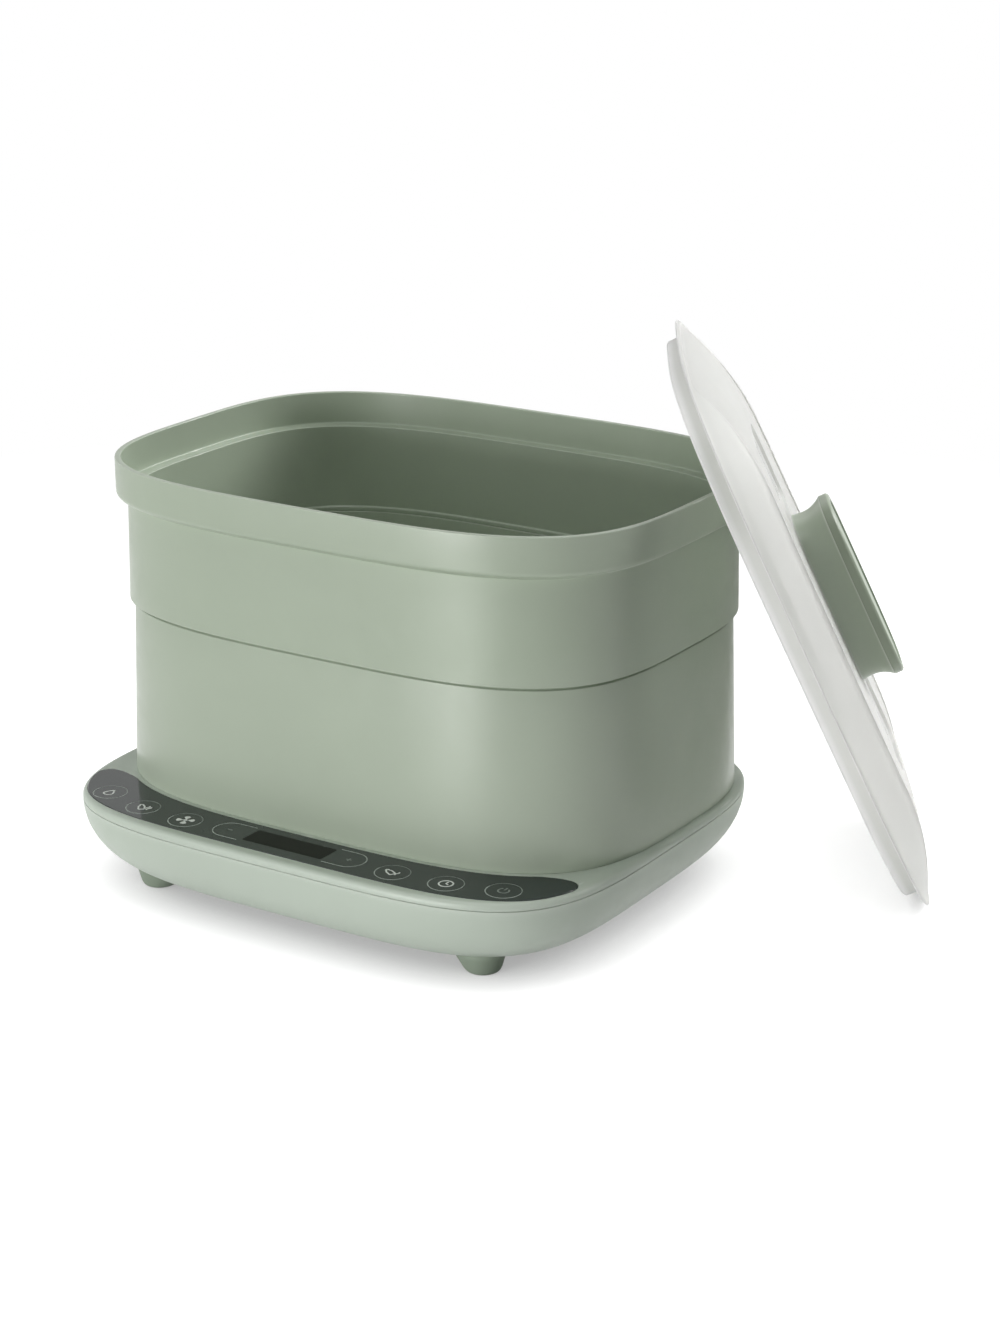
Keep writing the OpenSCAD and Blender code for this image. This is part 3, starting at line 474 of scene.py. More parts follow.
def panel_rows(grow, low, high, ease):
    """The touch strip: cross-sections from the tub side (v = -1) to the outer side (v = 1), carried from end to end.

    Both edges are superellipses, the tub outline let out and the base outline drawn in, each cut at the line
    y = -panel_end. Nearer to an end than the corner radius r, at the distance d, each edge steps in by
    r - sqrt(r^2 - (r - d)^2), so the strip ends square with round corners.
    """
    s = np.sin(np.linspace(-pi / 2, pi / 2, panel_columns))

    def edge(a, b, n, yc):
        """The front of a superellipse about y = yc, from one crossing of the cut line to the other."""
        cut = (panel_end - grow + yc) / b
        t_end = np.arctan2(cut, (1 - cut ** n) ** (1 / n))
        t = -pi / 2 + s * (pi / 2 - t_end)
        reach = (np.abs(np.cos(t)) ** n + np.abs(np.sin(t)) ** n) ** (-1 / n)
        return np.stack([a * reach * np.cos(t), b * reach * np.sin(t) + yc], -1)

    tub_a = low_bot_a + panel_strip - grow
    inner = edge(tub_a, tub_a - tub_d, tub_n, 0.0)
    outer = edge(base_a - panel_side + grow, base_b - panel_in + grow, panel_n, base_yc)
    middle, side = (inner + outer) / 2, (outer - inner) / 2
    along = np.concatenate([[0], np.cumsum(np.linalg.norm(np.diff(middle, axis=0), axis=1))])
    short = panel_corner - np.minimum(np.minimum(along, along[-1] - along), panel_corner)
    step = (panel_corner - np.sqrt(panel_corner ** 2 - short ** 2))[:, None]
    section = np.array([(-1, 0, low), (1, 0, low), (1, 0, high - ease), (1, -1, high), (-1, 1, high),
                        (-1, 0, high - ease)])
    reach = np.linalg.norm(side, axis=1, keepdims=True)
    across = section[None, :, 0] * (1 - step / reach) + section[None, :, 1] * ease / reach
    flat = middle[:, None] + across[..., None] * side[:, None]
    z = np.broadcast_to(section[None, :, 2:], flat.shape[:2] + (1,))
    return np.concatenate([flat, z], -1)


carve(deck, joined([
    skin(panel_rows(panel_gap, panel_low[2], cut_high, 0.0)),
    skin(turned([(dish_hole, cut_low), (dish_hole, cut_high)], dish_mid, 96)),
    block([grille_low[0] + grille_ledge, grille_low[1] + grille_ledge, cut_low],
          [grille_high[0] - grille_ledge, grille_high[1] - grille_ledge, cut_high])]))
collar_ring = make_object("deck_collar", skin(tub_rows(collar), loop=True))
finish_piece(deck, "base", pale_sage, ["base_deck"])
finish_piece(collar_ring, "base", pale_sage)

# ---- Touch panel
# One dark slate strip of glossy acrylic laid into the deck; keys and the pill round the display are printed on
# its underside in thin grey and white lines, and the display window is a darker smoked field.
panel_gloss, tree, shader = new_material("panel_slate_gloss")
place = add(tree, "ShaderNodeTexCoord").outputs["Object"]
haze = add(tree, "ShaderNodeTexNoise", {"Vector": place, "Scale": 35.0, "Detail": 4.0}).outputs["Fac"]
peel = add(tree, "ShaderNodeTexNoise", {"Vector": place, "Scale": 260.0, "Detail": 1.0}).outputs["Fac"]
tree.links.new(blend(tree, haze, srgb(48, 57, 54), srgb(56, 64, 61)), shader.inputs["Base Color"])
tree.links.new(ranged(tree, haze, 0.3, 0.7, 0.07, 0.14), shader.inputs["Roughness"])
shader.inputs["IOR"].default_value = 1.32
ripple = add(tree, "ShaderNodeBump", {"Height": peel, "Strength": 0.05, "Distance": 0.00005})
tree.links.new(ripple.outputs["Normal"], shader.inputs["Normal"])
panel_ease = 0.0004
panel = make_object("control_panel_strip", skin(panel_rows(0.0, panel_low[2], panel_high[2], panel_ease)))
finish_piece(panel, "base", panel_gloss, ["control_panel"])

print_sunk, print_proud = 0.00002, 0.00004
print_low = panel_high[2] - print_sunk
print_high = panel_high[2] + print_proud
window_low, window_high = np.array(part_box("display_window"))
window_y = (window_low[1] + window_high[1]) / 2


def plate(outline, low, high):
    """A flat plate with a star-shaped xy outline, closed above and below."""
    return skin(raised(np.stack([outline, outline]), [low, high]))


def ribbon(path, width, closed=True):
    """A printed line: a flat section of that width carried along an xy path, square to it."""
    along = np.roll(path, -1, 0) - np.roll(path, 1, 0) if closed else np.gradient(path, axis=0)
    square = np.stack([-along[:, 1], along[:, 0]], -1) / np.linalg.norm(along, axis=1, keepdims=True)
    flat = path[:, None] + np.array([-0.5, 0.5, 0.5, -0.5])[:, None] * width * square[:, None]
    z = np.broadcast_to(np.array([print_low, print_low, print_high, print_high])[:, None], flat.shape[:2] + (1,))
    return skin(np.concatenate([flat, z], -1), loop=closed)


def arc(radius, start, end, points=48):
    """Points of a circle from one angle to another, in degrees."""
    t = np.radians(np.linspace(start, end, points))
    return np.stack([np.cos(t), np.sin(t)], -1) * radius


def drop(width, height, points=40):
    """Teardrop x = width sin t sin^2(t/2), y = height cos t, with its tip at the top."""
    t = np.arange(points) * 2 * np.pi / points
    return np.stack([width * np.sin(t) * np.sin(t / 2) ** 2, height * np.cos(t)], -1)


def spun(path, degrees):
    """xy points turned about the origin."""
    c, s = cos(radians(degrees)), sin(radians(degrees))
    return path @ np.array([[c, s], [-s, c]])


def wave(length, swing, x, y):
    """A short rising S line, y along its length, x = swing sin(2 pi y / length)."""
    t = np.linspace(-0.5, 0.5, 20)
    return np.stack([x + swing * np.sin(2 * np.pi * t), y + length * t], -1)


def moved(shape, at):
    """A skin shifted in x and y."""
    return shape[0] + [at[0], at[1], 0], shape[1]


print_x = -0.0013
key_x = np.array([0.116, 0.0892, 0.061])
key_y = np.array([-0.1148, -0.122, -0.1243])
keys_left = np.stack([print_x - key_x, key_y], -1)
keys_right = np.stack([print_x + key_x, key_y], -1)
key_places = np.concatenate([keys_left, keys_right])
key_r = 0.0085
line, thin = 0.0008, 0.0005
bottle = eased(np.array([[-1.5, -3.2], [1.5, -3.2], [1.5, 0.8], [0.8, 1.7], [0.8, 3.0], [-0.8, 3.0], [-0.8, 1.7],
                         [-1.5, 0.8]]) / 1000, 0.0006, 3)
clock_hands = np.array([[0, 0.0022], [0, 0.0], [0.0016, -0.0007]])
steam_h, steam_swing = 0.004, 0.0005
air_h = 0.0036
bright_signs = [
    (keys_left[0], drop(0.0038, 0.0036), True),
    (keys_left[1], spun(bottle, 35) - [0.001, 0], True),
    (keys_left[1], wave(steam_h, steam_swing, 0.0022, 0.0006), False),
    (keys_left[1], wave(steam_h, steam_swing, 0.0036, 0.0), False),
    (keys_left[2], arc(0.0007, 0, 345, 24), True),
    (keys_right[2], spun(bottle, 60) - [0.0016, 0], True),
    (keys_right[2], wave(air_h, steam_swing, 0.0026, 0.0), False),
    (keys_right[1], arc(0.0034, 0, 352.5), True),
    (keys_right[1], clock_hands, False)]
bright_marks = [moved(ribbon(path, line, closed), at) for at, path, closed in bright_signs]
blade = drop(0.0024, 0.0019) - [0, 0.0028]
bright_marks += [moved(plate(spun(blade, 90 * i + 20), print_low, print_high), keys_left[2]) for i in range(4)]
pill_r, pill_x, pill_from = 0.0085, 0.035, 0.025
pill_end = np.concatenate([[[pill_from - pill_x, -pill_r]], arc(pill_r, -90, 90), [[pill_from - pill_x, pill_r]]])
pill_left, pill_right = (print_x - pill_x, window_y), (print_x + pill_x, window_y)
ring_marks = [moved(ribbon(arc(key_r, 170, 370), thin, False), at) for at in key_places]
ring_marks += [moved(ribbon(pill_end, thin, False), pill_right), moved(ribbon(-pill_end, thin, False), pill_left)]
power_stroke = np.array([[0, 0.0006], [0, 0.0034]])
dash = np.array([[-0.0014, 0], [0.0014, 0]])
dim_signs = [(keys_right[0], arc(0.0026, 125, 415), line), (keys_right[0], power_stroke, line),
             (pill_left, dash, line), (pill_right, dash, line), (pill_right, dash[:, ::-1], line * 0.9)]
dim_marks = [moved(ribbon(arc(key_r, 12, 168), thin, False), at) for at in key_places]
dim_marks += [moved(ribbon(path, width, False), at) for at, path, width in dim_signs]
bright_print = patterned("key_print_white", srgb(236, 240, 236), srgb(222, 227, 222),
                         ("ShaderNodeTexNoise", {"Scale": 2500.0, "Detail": 2.0}, "Fac"), (0.4, 0.7), 0.4)
ring_print = patterned("key_print_silver", srgb(178, 187, 181), srgb(150, 159, 153),
                       ("ShaderNodeTexNoise", {"Scale": 900.0, "Detail": 2.0}, "Fac"), (0.35, 0.65), 0.4)
dim_print = patterned("key_print_grey", srgb(128, 137, 131), srgb(108, 117, 111),
                      ("ShaderNodeTexNoise", {"Scale": 900.0, "Detail": 2.0}, "Fac"), (0.35, 0.65), 0.4)
finish_piece(make_object("key_print_bright", joined(bright_marks)), "base", bright_print)
finish_piece(make_object("key_print_rings", joined(ring_marks)), "base", ring_print)
finish_piece(make_object("key_print_dim", joined(dim_marks)), "base", dim_print)
smoked = plastic("display_smoked", srgb(12, 16, 10), gloss=0.14, drift=0.08, edge_highlight=0.0, fineness=300.0,
                 depth=0.000004, IOR=1.15)
window_round = 0.0012
corners = np.array([[window_low[0], window_low[1]], [window_high[0], window_low[1]], [window_high[0], window_high[1]],
                    [window_low[0], window_high[1]]])
window = make_object("display_window_field", plate(eased(corners, window_round), window_low[2], print_high))
finish_piece(window, "base", smoked, ["display_window"])

# ---- Boiler dish and warm air grille
# The dish is pressed from stainless sheet and lies on a silicone ring in the deck; the grille is a sage moulding
# clipped into the outlet beside it.
sheet = 0.0008
dish_r = dish_rim - 0.0058
dish_centre = 0.002
dish_bend = 0.0012
dish_profile = eased([(dish_centre, dish_low[2]), (dish_r, dish_low[2]), (dish_r, dish_high[2] - sheet),
                      (dish_rim, dish_high[2] - sheet), (dish_rim, dish_high[2]), (dish_r - sheet, dish_high[2]),
                      (dish_r - sheet, dish_low[2] + sheet), (dish_centre, dish_low[2] + sheet)],
                     dish_bend, closed=False)
stainless = metal("stainless_pressed", srgb(190, 191, 192), 0.3, (1.0, 14.0, 1.0))
dish = make_object("heating_plate_dish", skin(turned(dish_profile, dish_mid, 128)))
finish_piece(dish, "base", stainless, ["heating_plate"])
sage = plastic("sage_satin", srgb(163, 175, 156), gloss=0.33, edge_highlight=0.4)
dress(sage, "outlet_grille")

# ---- Air filter cover
# Rear cover moulded with the tray that holds the fleece; its louvred face follows the rolled wall of the shell
# and it slides out by hand.
face_t = 0.003
tray_t, tray_lap = 0.0016, 0.0001
cover_from = 0.072
cover_to = [drawer_high[0], drawer_high[1] + past_wall, drawer_high[2]]
louvre_from, louvre_to = 0.07, 0.13
louvre_in, louvre_low, louvre_top, louvre_pitch = 0.005, 0.0042, 0.0066, 0.0036
body_skin = base_rows(np.concatenate([[[sole_in, shell_z]], shell_outside]))


def set_back(distance):
    """The outside of the lower shell as one closed skin, moved towards the front."""
    return skin(body_skin - [0, distance, 0])


cover = make_object("filter_cover_face", set_back(0.0))
carve(cover, block([drawer_low[0], cover_from, drawer_low[2]], cover_to), "INTERSECT")
carve(cover, set_back(face_t))
louvres = [block([drawer_low[0] + louvre_in, louvre_from, drawer_low[2] + louvre_low + louvre_pitch * i],
                 [drawer_high[0] - louvre_in, louvre_to, drawer_low[2] + louvre_top + louvre_pitch * i])
           for i in range(4)]
carve(cover, joined(louvres))
finish_piece(cover, "filter_drawer", pale_sage, ["filter_cover"])
tray = make_object("filter_tray", block(drawer_low, cover_to))
carve(tray, set_back(face_t - tray_lap), "INTERSECT")
carve(tray, block([drawer_low[0] + tray_t, drawer_low[1] - past_wall, drawer_low[2] + tray_t],
                  [drawer_high[0] - tray_t, drawer_high[1] + 2 * past_wall, drawer_high[2] - tray_t]))
finish_piece(tray, "filter_drawer", pale_sage)

# ---- Lower tier
# Plain rounded wall moulded in sage plastic, a little wider at the deck; a seat inside carries the rack and the
# upper edge slips into the upper tier.
up_tub_low, up_tub_high = np.array(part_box("upper_tub"))
rim_a, rim_z, tier_z = up_tub_high[0], up_tub_high[2], up_tub_low[2]
low_top_z = low_tub_high[2]
low_top_a = rim_a - 0.0063
low_in_a = low_top_a - wall
spigot_a, spigot_z = low_top_a - 0.0003, tier_z + 0.0008
seat_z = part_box("bottle_rack")[0][2]
seat_t = 0.0025
seat_w = 0.009
seat_root_a = low_bot_a - wall - 0.0003
groove_z = tier_z - 0.0022
groove_a = low_top_a - 0.0011
groove_slope = 0.0006
wall_round = 0.0004
lower_wall = eased([(low_bot_a, deck_z), (low_top_a, groove_z), (groove_a, groove_z + groove_slope),
                    (groove_a, tier_z), (spigot_a, spigot_z), (spigot_a, low_top_z), (low_in_a, low_top_z),
                    (low_in_a, seat_z), (low_in_a - seat_w, seat_z), (low_in_a - seat_w, seat_z - seat_t),
                    (seat_root_a, seat_z - seat_t), (low_bot_a - wall, deck_z)], wall_round)
lower_tub = make_object("lower_tub_wall", skin(tub_rows(lower_wall), loop=True))
finish_piece(lower_tub, "lower_tier", sage, ["lower_tub"])

# ---- Rack
# White slotted tray with six shallow rings, injection moulded in one piece, which keeps its CAD shape. It drops
# onto the seat of the lower tier and lifts out by hand.
dress(white_plastic, "bottle_rack")

# ---- Upper tier
# Sage wall that laps over the lower tier at the seam and carries a proud band under the rim; inside, a ledge
# below the rim takes the lip of the lid.
ledge_z = rim_z - 0.017
ledge_in = 0.006
band_z = rim_z - 0.021
band_in = 0.005
band_step, band_rise, band_full = 0.0008, 0.002, 0.0036
up_bot_a = rim_a - 0.0041
up_in_a = up_bot_a - wall - 0.0003
stop_a, stop_z = low_in_a + 0.0005, low_top_z + 0.0025
upper_wall = eased([(up_bot_a, tier_z), (rim_a - band_in, band_z), (rim_a - band_step, band_z + band_rise),
                    (rim_a, band_z + band_full), (rim_a, rim_z), (rim_a - wall, rim_z), (rim_a - wall, ledge_z),
                    (rim_a - ledge_in - wall, ledge_z), (up_in_a, stop_z), (stop_a, stop_z), (stop_a, low_top_z),
                    (low_top_a + slip, low_top_z), (low_top_a + slip, tier_z)],
                   [0.0005, 0.0008, 0.001, 0.0012, 0.0006, 0.0006, 0.0008, 0.0005, 0.0006, 0.0006, 0.0005, 0.0005,
                    0.0004], 5)
upper_tub = make_object("upper_tub_wall", skin(tub_rows(upper_wall), loop=True))
finish_piece(upper_tub, "upper_tier", sage, ["upper_tub"])

# ---- Lid
# Frosted translucent lid, moulded with a lip that drops inside the rim, a flange, sloped sides and a top that is
# flat in the middle, falls to both ends and has two slotted vent pockets. It leans with its foot on the table and
# a pad under one pocket against the rim corner.
lean_az, lean_el, lean_q = radians(30.4), radians(25.3), -0.007
lean_gap = 0.00035
lid_a = 0.151
lid_h = 0.0224
lid_t = 0.0024
lip_h = 0.008
lip_in = 0.0075
top_in = 0.0285
top_flat = 0.093
fall_in = 0.0048
top_oval = 0.476 * lid_a / (lid_a - tub_d)
side_in, side_w = 0.0012, lip_h + 0.0016
pocket_h = 0.0036
pocket_cut = 0.0016
bead_h = 0.001
arch_gap = 0.0003
least_run, most_run = 0.0006, 0.04
side_rows, bead_rows, top_rows = 12, 5, 40
lid_w = np.array([cos(lean_el) * cos(lean_az), cos(lean_el) * sin(lean_az), sin(lean_el)])
lid_u = np.array([-sin(lean_el) * cos(lean_az), -sin(lean_el) * sin(lean_az), cos(lean_el)])
lid_v = np.array([sin(lean_az), -cos(lean_az), 0.0])
dual = tub_n / (tub_n - 1)
reach = ((rim_a * lid_w[0]) ** dual + ((rim_a - tub_d) * lid_w[1]) ** dual) ** (1 / dual) + lid_w[2] * rim_z
lid_cz = lid_a * lid_u[2] - lip_h * lid_w[2] + lean_gap
lid_p = (reach + lean_gap - (lid_h - lid_t - pocket_h) - lid_w[2] * lid_cz) / cos(lean_el)
lid_middle = np.array([lid_p * cos(lean_az) - lean_q * sin(lean_az), lid_p * sin(lean_az) + lean_q * cos(lean_az),
                       lid_cz])


def leaned(rows):
    """Points given along the lid (u), across it (v) and out of it (w), put in its leaning place."""
    return lid_middle + rows[..., :1] * lid_u + rows[..., 1:2] * lid_v + rows[..., 2:] * lid_w


def lid_rows(profile):
    """The lid outline carried along a profile of (inset, w) points, in the lid's own directions."""
    inset, w = np.asarray(profile).T
    return raised(oval(lid_a - inset, lid_a - tub_d - inset, tub_n), w)


def arch(point, lower):
    """Height of the top over a point: flat in an oval, then falling as a parabola to the flange, less an offset.

    The oval radius is sqrt(u^2 + (top_oval v)^2): the fall starts at top_flat and ends at fall_in inside lid_a.
    """
    far = np.hypot(point[..., :1], top_oval * point[..., 1:2])
    past = np.clip((far - top_flat) / (lid_a - fall_in - top_flat), 0, 1)
    return lid_h - lower - (lid_h - side_w - arch_gap) * past ** 2


def hipped(start_in, start_w, lower, bead):
    """Straight sides rising inward from a start row to a crease with the arch, a bead along it, and the arch itself.

    On a side the point is start + inward d; the d that reaches the arch is found by halving a step, for every
    outline point at once. Inside the crease the rows are the crease shrunk towards the middle, at the arch's height.
    """
    steep = (lid_h - side_w) / (top_in - side_in)
    start, inward = lid_rows([(start_in, start_w), (start_in + 1, start_w + steep)])
    inward = inward - start
    start[:, 2:] = np.minimum(start[:, 2:], arch(start, lower) - arch_gap)
    low, high = np.full((outline_columns, 1), least_run), np.full((outline_columns, 1), most_run)
    for _ in range(30):
        middle = (low + high) / 2
        point = start + inward * middle
        under = point[:, 2:] < arch(point, lower)
        low, high = np.where(under, middle, low), np.where(under, high, middle)
    crease = start + inward * low
    side = start + inward * low * np.linspace(0, 0.95, side_rows)[:, None, None]
    shrink = np.concatenate([np.linspace(1, 0.98, bead_rows), np.linspace(0.97, 0.02, top_rows)])
    flat = crease[:, :2] * shrink[:, None, None]
    top = np.concatenate([flat, arch(flat, lower)], -1)
    swell = np.sin(np.linspace(0.3, pi, bead_rows))[:, None, None]
    top[:bead_rows, :, 2:] += bead * swell * low / low.max()
    return np.concatenate([side, top])


inner_in = lip_in + lid_t
inner_w = side_w + (inner_in - side_in) * (lid_h - side_w) / (top_in - side_in) - lid_t
ceiling = hipped(inner_in, inner_w, lid_t, 0.0)
inner_ease, outer_ease, root_ease = 0.0006, (0.0007, 0.0009), 0.0005
lip_edge = np.array([[inner_in, inner_ease], [inner_in - inner_ease, 0.0], [lip_in + outer_ease[0], 0.0],
                     [lip_in, outer_ease[1]], [lip_in, lip_h - root_ease], [lip_in - root_ease, lip_h]])
flange_from, flange_t, flange_round = lip_in - 0.001, 0.001, 0.0006
flange_to = (side_in - 0.0004, side_w - 0.0002)
flange = eased([(flange_from, lip_h), (0.0, lip_h), (0.0, lip_h + flange_t), flange_to], flange_round, closed=False)
lid = make_object("lid_shell_skin", skin(leaned(np.concatenate([
    ceiling[::-1], lid_rows(np.concatenate([lip_edge, flange])), hipped(side_in, side_w, 0.0, bead_h)]))))


pocket_a, pocket_b, pocket_n, pocket_u = 0.022, 0.027, 5, 0.069
pad_under, pad_top = lid_h - lid_t - pocket_h, lid_h - 0.001
slot_len, slot_w, slot_pitch = 0.028, 0.003, 0.009
slot_low, slot_high = 0.01, 0.04


def pocket(side, grow, w):
    """A vent pocket, a squarish superellipse beside the handle, let out by an amount at each height w."""
    ring = oval(pocket_a + np.array(grow), pocket_b + np.array(grow), pocket_n, 96) + [side * pocket_u, 0]
    return skin(leaned(raised(ring, w)))


def vent_slot(u, v):
    """A box in the lid's own directions that cuts one slot through the floor of a pocket."""
    ring = np.array([[-1, -1], [1, -1], [1, 1], [-1, 1]]) * [slot_len / 2, slot_w / 2] + [u, v]
    return skin(leaned(raised(np.stack([ring, ring]), [slot_low, slot_high])))


carve(lid, joined([pocket(s, (lid_t, lid_t), (pad_under, pad_top)) for s in (-1, 1)]), "UNION")
pocket_rings = np.array([-0.02, -0.016, -0.012, -0.009, -0.006, -0.003, -0.001, 0.0, 0.01])
pocket_w = lid_h - pocket_cut + np.maximum(pocket_rings, 0)
carve(lid, joined([pocket(s, pocket_rings, pocket_w) for s in (-1, 1)]))
carve(lid, joined([vent_slot(s * pocket_u, slot_pitch * k) for s in (-1, 1) for k in range(-2, 3)]))
frost, tree, shader = new_material("lid_frosted")
place = add(tree, "ShaderNodeTexCoord").outputs["Object"]
fine = add(tree, "ShaderNodeTexNoise", {"Vector": place, "Scale": 1500.0, "Detail": 2.0}).outputs["Fac"]
flow = add(tree, "ShaderNodeTexNoise",
           {"Vector": place, "Scale": 16.0, "Detail": 3.0, "Distortion": 0.8}).outputs["Fac"]
milky = blend(tree, flow, srgb(224, 225, 222), srgb(234, 234, 231))
# painted highlight: convex edges of the lid, found by pointiness, are blended towards white, as along the crease of
# the top
edge = ranged(tree, add(tree, "ShaderNodeNewGeometry").outputs["Pointiness"], 0.503, 0.53, 0.0, 0.9)
tree.links.new(blend(tree, edge, milky, srgb(252, 252, 252)), shader.inputs["Base Color"])
tree.links.new(ranged(tree, flow, 0.3, 0.7, 0.34, 0.46), shader.inputs["Roughness"])
speckle = add(tree, "ShaderNodeBump", {"Height": fine, "Strength": 0.2, "Distance": 0.00004})
tree.links.new(speckle.outputs["Normal"], shader.inputs["Normal"])
shader.inputs["Transmission Weight"].default_value = 0.5
shader.inputs["IOR"].default_value = 1.3
finish_piece(lid, "lid", frost, ["lid_shell"])

# ---- Handle of the lid
# Flared sage grip with hollow sides, moulded, and a flat cap with a bevelled band and an inset plate pressed on
# top; two screws from inside the lid hold it.
grip_a = 0.047
grip_b = 0.028
grip_n = 3.4
grip_in = 0.0036
grip_h = 0.0157
grip_band = 0.0048
grip_close = 0.002
waist_at, waist_bend, foot_share = 0.35, 2.2, 0.6


def grip_rows(profile):
    """The grip outline carried along a profile of (inset, w) points above the flat top of the lid."""
    inset, w = np.asarray(profile).T
    return leaned(raised(oval(grip_a - inset, grip_b - inset, grip_n, 144), w + lid_h))


rise = np.linspace(0, 1, curve_rows)
flaring = (np.abs(rise - waist_at) / (1 - waist_at)) ** waist_bend * np.where(rise > waist_at, 1, foot_share)
waist = grip_in * (1 - flaring)
grip_profile = np.concatenate([[[waist[0] + grip_close, 0]], np.stack([waist, grip_h * rise], -1),
                               [[waist[-1] + grip_close, grip_h]]])
grip = make_object("lid_handle_grip", skin(grip_rows(grip_profile)))
finish_piece(grip, "lid", sage, ["lid_handle"])
cap_h = grip_h + grip_band
cap_under, cap_bevel, cap_edge, cap_round = 0.003, 0.001, 0.0034, 0.0003
plate_h = cap_h - 0.0008
cap_profile = eased([(cap_under, grip_h), (0.0, grip_h), (0.0, cap_h - cap_bevel), (cap_bevel, cap_h),
                     (cap_edge, cap_h), (cap_edge, plate_h), (0.006, plate_h)], cap_round, closed=False)
plate_in = np.array([0.007, 0.009, 0.013, 0.019, 0.025])
plate_rows = np.stack([plate_in, np.full(len(plate_in), plate_h)], -1)
cap = make_object("handle_cap_plate", skin(grip_rows(np.concatenate([cap_profile, plate_rows]))))
sage_cap = plastic("sage_cap_satin", srgb(146, 158, 138), gloss=0.36, edge_highlight=0.0)
finish_piece(cap, "lid", sage_cap, ["handle_cap"])
dress(steel, "handle_screw_1", "handle_screw_2")

# ---- Studio
# White floor and surround, five soft lamps round the tub, and a narrow lamp on the floor in front that shows only as
# the soft highlight down the rounded corner. The floor carries the lamps' shadows and, close under the product,
# painted shade: its glow is dimmed by an occlusion mask. The camera stands where the photo was taken.
floor_r = 2.6
floor_columns = 96
shade_reach = 0.1
shade_low, shade_open = 0.36, 0.97
fade_from, fade_to = 0.4, 0.9
surround_light = 0.02


def white_rays(tree):
    """1 for the rays of camera, gloss and glass, which see plain white, and 0 for those that carry light."""
    path = add(tree, "ShaderNodeLightPath").outputs
    seen = path["Is Camera Ray"]
    for kind in ("Is Glossy Ray", "Is Transmission Ray"):
        seen = add(tree, "ShaderNodeMath", {0: seen, 1: path[kind]}, operation="MAXIMUM").outputs[0]
    return seen


floor_ring = oval(np.array([floor_r]), np.array([floor_r]), 2, floor_columns)
floor = make_object("studio_floor", (raised(floor_ring, [0.0])[0], [list(range(floor_columns))]))
floor_paint = bpy.data.materials.new("studio_floor_white")
floor_paint.use_nodes = True
tree = floor_paint.node_tree
tree.nodes.clear()
matt = add(tree, "ShaderNodeBsdfDiffuse", {"Color": (0.8, 0.8, 0.8, 1)}).outputs[0]
# painted shadow: the floor's glow is dimmed where occlusion finds the product close above it
painted_shadow_mask = add(tree, "ShaderNodeAmbientOcclusion", {"Distance": shade_reach}, samples=16).outputs["AO"]
shade = ranged(tree, painted_shadow_mask, 0.1, 0.6, shade_low, shade_open)
shadowed_glow = add(tree, "ShaderNodeEmission", {"Strength": shade}).outputs[0]
pale = add(tree, "ShaderNodeBsdfDiffuse", {"Color": (0.4, 0.4, 0.4, 1)}).outputs[0]
lit = add(tree, "ShaderNodeAddShader", {0: pale, 1: shadowed_glow}).outputs[0]
far = add(tree, "ShaderNodeVectorMath", {0: add(tree, "ShaderNodeTexCoord").outputs["Object"]}, operation="LENGTH")
fade = ranged(tree, far.outputs["Value"], fade_from, fade_to, 0.0, 1.0)
white = add(tree, "ShaderNodeEmission", {"Strength": 1.0}).outputs[0]
shown = add(tree, "ShaderNodeMixShader", {0: fade, 1: lit, 2: white}).outputs[0]
paint = add(tree, "ShaderNodeMixShader", {0: white_rays(tree), 1: matt, 2: shown}).outputs[0]
add(tree, "ShaderNodeOutputMaterial", {0: paint})
floor.data.materials.append(floor_paint)

world = bpy.data.worlds.new("studio_surround")
bpy.context.scene.world = world
world.use_nodes = True
tree = world.node_tree
tree.nodes.clear()
level = ranged(tree, white_rays(tree), 0.0, 1.0, surround_light, 1.0)
surround = add(tree, "ShaderNodeBackground", {"Color": (1, 1, 1, 1), "Strength": level}).outputs[0]
add(tree, "ShaderNodeOutputWorld", {0: surround})


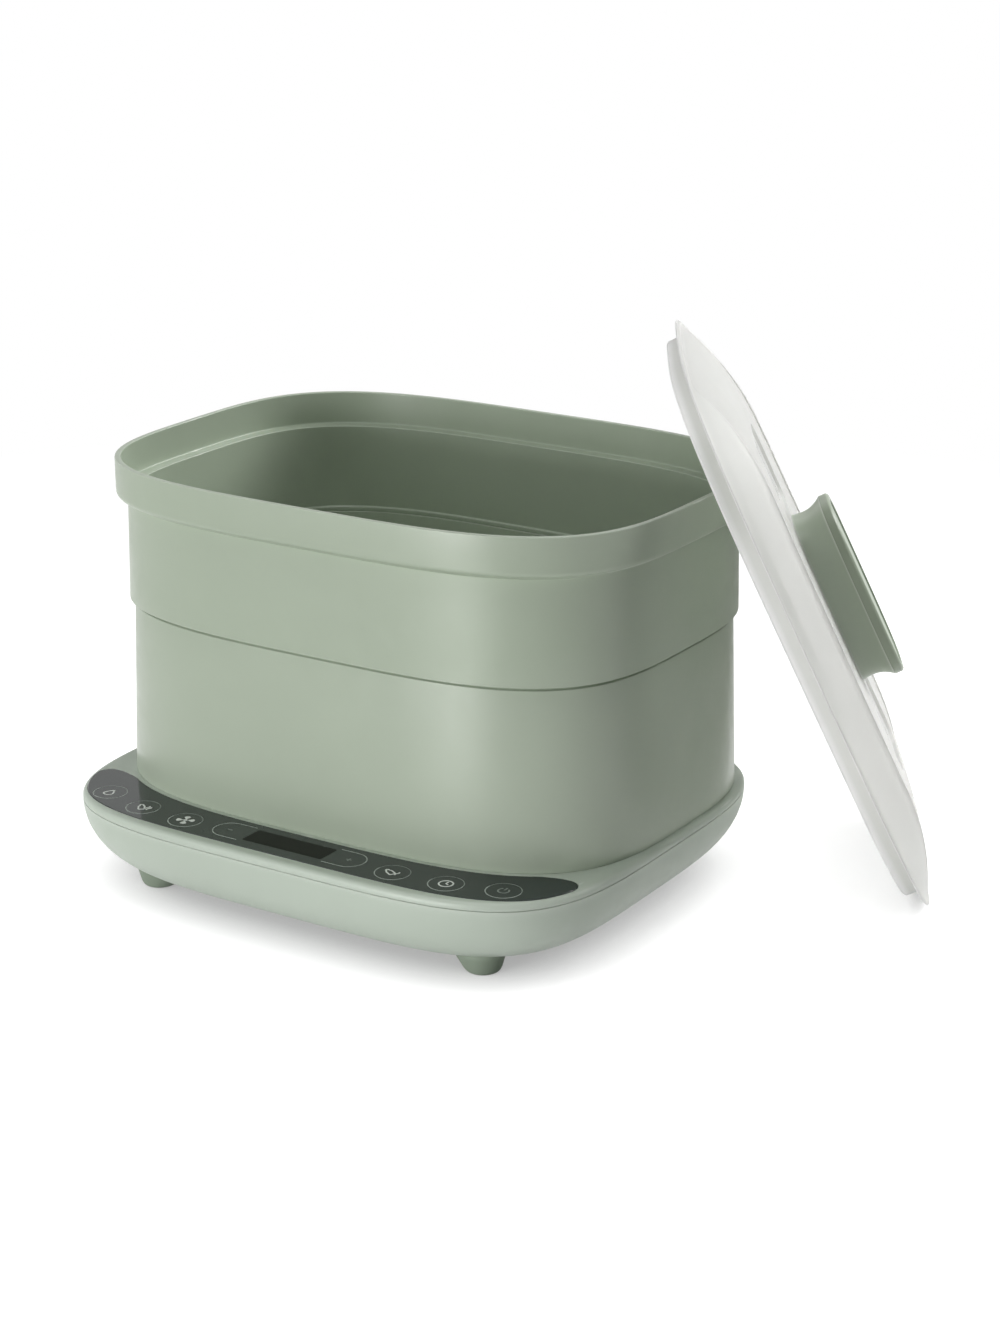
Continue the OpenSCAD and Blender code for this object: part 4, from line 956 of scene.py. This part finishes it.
def aim(made, place, target):
    """Puts a lamp or camera at a place, looking at a target with its own up side up."""
    back = np.array(place) - np.array(target)
    back /= np.linalg.norm(back)
    right = np.cross([0, 0, 1], back)
    right /= np.linalg.norm(right)
    turn = np.eye(4)
    turn[:3, :3] = np.stack([right, np.cross(back, right), back], 1)
    turn[:3, 3] = place
    made.matrix_world = Matrix(turn.tolist())


lamp_away = 2.3
tub_middle = np.array([0, 0, 0.12])


def area_lamp(name, power, width, length):
    """A flat rectangular lamp that is still to be placed."""
    lamp = bpy.data.lights.new(name, "AREA")
    lamp.shape = "RECTANGLE"
    lamp.size, lamp.size_y = width, length
    lamp.energy = power
    made = bpy.data.objects.new(name, lamp)
    bpy.context.collection.objects.link(made)
    return made


for name, degrees_right, degrees_up, size, power in (
        ("front_softbox", -9, 3, 0.5, 25), ("key_softbox", -24, 9, 0.9, 6), ("left_softbox", -52, 28, 1.5, 6.5),
        ("back_softbox", 146, 32, 1.4, 50), ("top_softbox", 20, 84, 1.3, 15)):
    az, el = radians(degrees_right), radians(degrees_up)
    toward = np.array([cos(el) * sin(az), -cos(el) * cos(az), sin(el)])
    aim(area_lamp(name, power, size, size), tub_middle + lamp_away * toward, tub_middle)

strip_az = radians(-14)
strip_w, strip_len, strip_power = 0.13, 0.8, 1.35
strip_from = np.array([0.05, -0.33, 0.004])
strip = area_lamp("floor_strip", strip_power, strip_w, strip_len)
strip.rotation_euler = (pi, 0, strip_az)
strip.location = strip_from + np.array([sin(strip_az), -cos(strip_az), 0.0]) * strip_len / 2
strip.visible_camera = strip.visible_diffuse = strip.visible_transmission = False

image_h = 1333
focal_px = 2817.26
sensor_h = 36.0
camera_place = np.array([0.748609, -1.117524, 0.557991])
camera_az, camera_el = radians(32.381), radians(18.719)
looking_back = np.array([sin(camera_az) * cos(camera_el), -cos(camera_az) * cos(camera_el), sin(camera_el)])
lens = bpy.data.cameras.new("photo_camera")
lens.sensor_fit = "VERTICAL"
lens.sensor_height = sensor_h
lens.lens = sensor_h * focal_px / image_h
lens.clip_end = 20
camera = bpy.data.objects.new("photo_camera", lens)
bpy.context.collection.objects.link(camera)
aim(camera, camera_place, camera_place - looking_back)
bpy.context.scene.camera = camera
bpy.context.scene.view_settings.view_transform = "Standard"
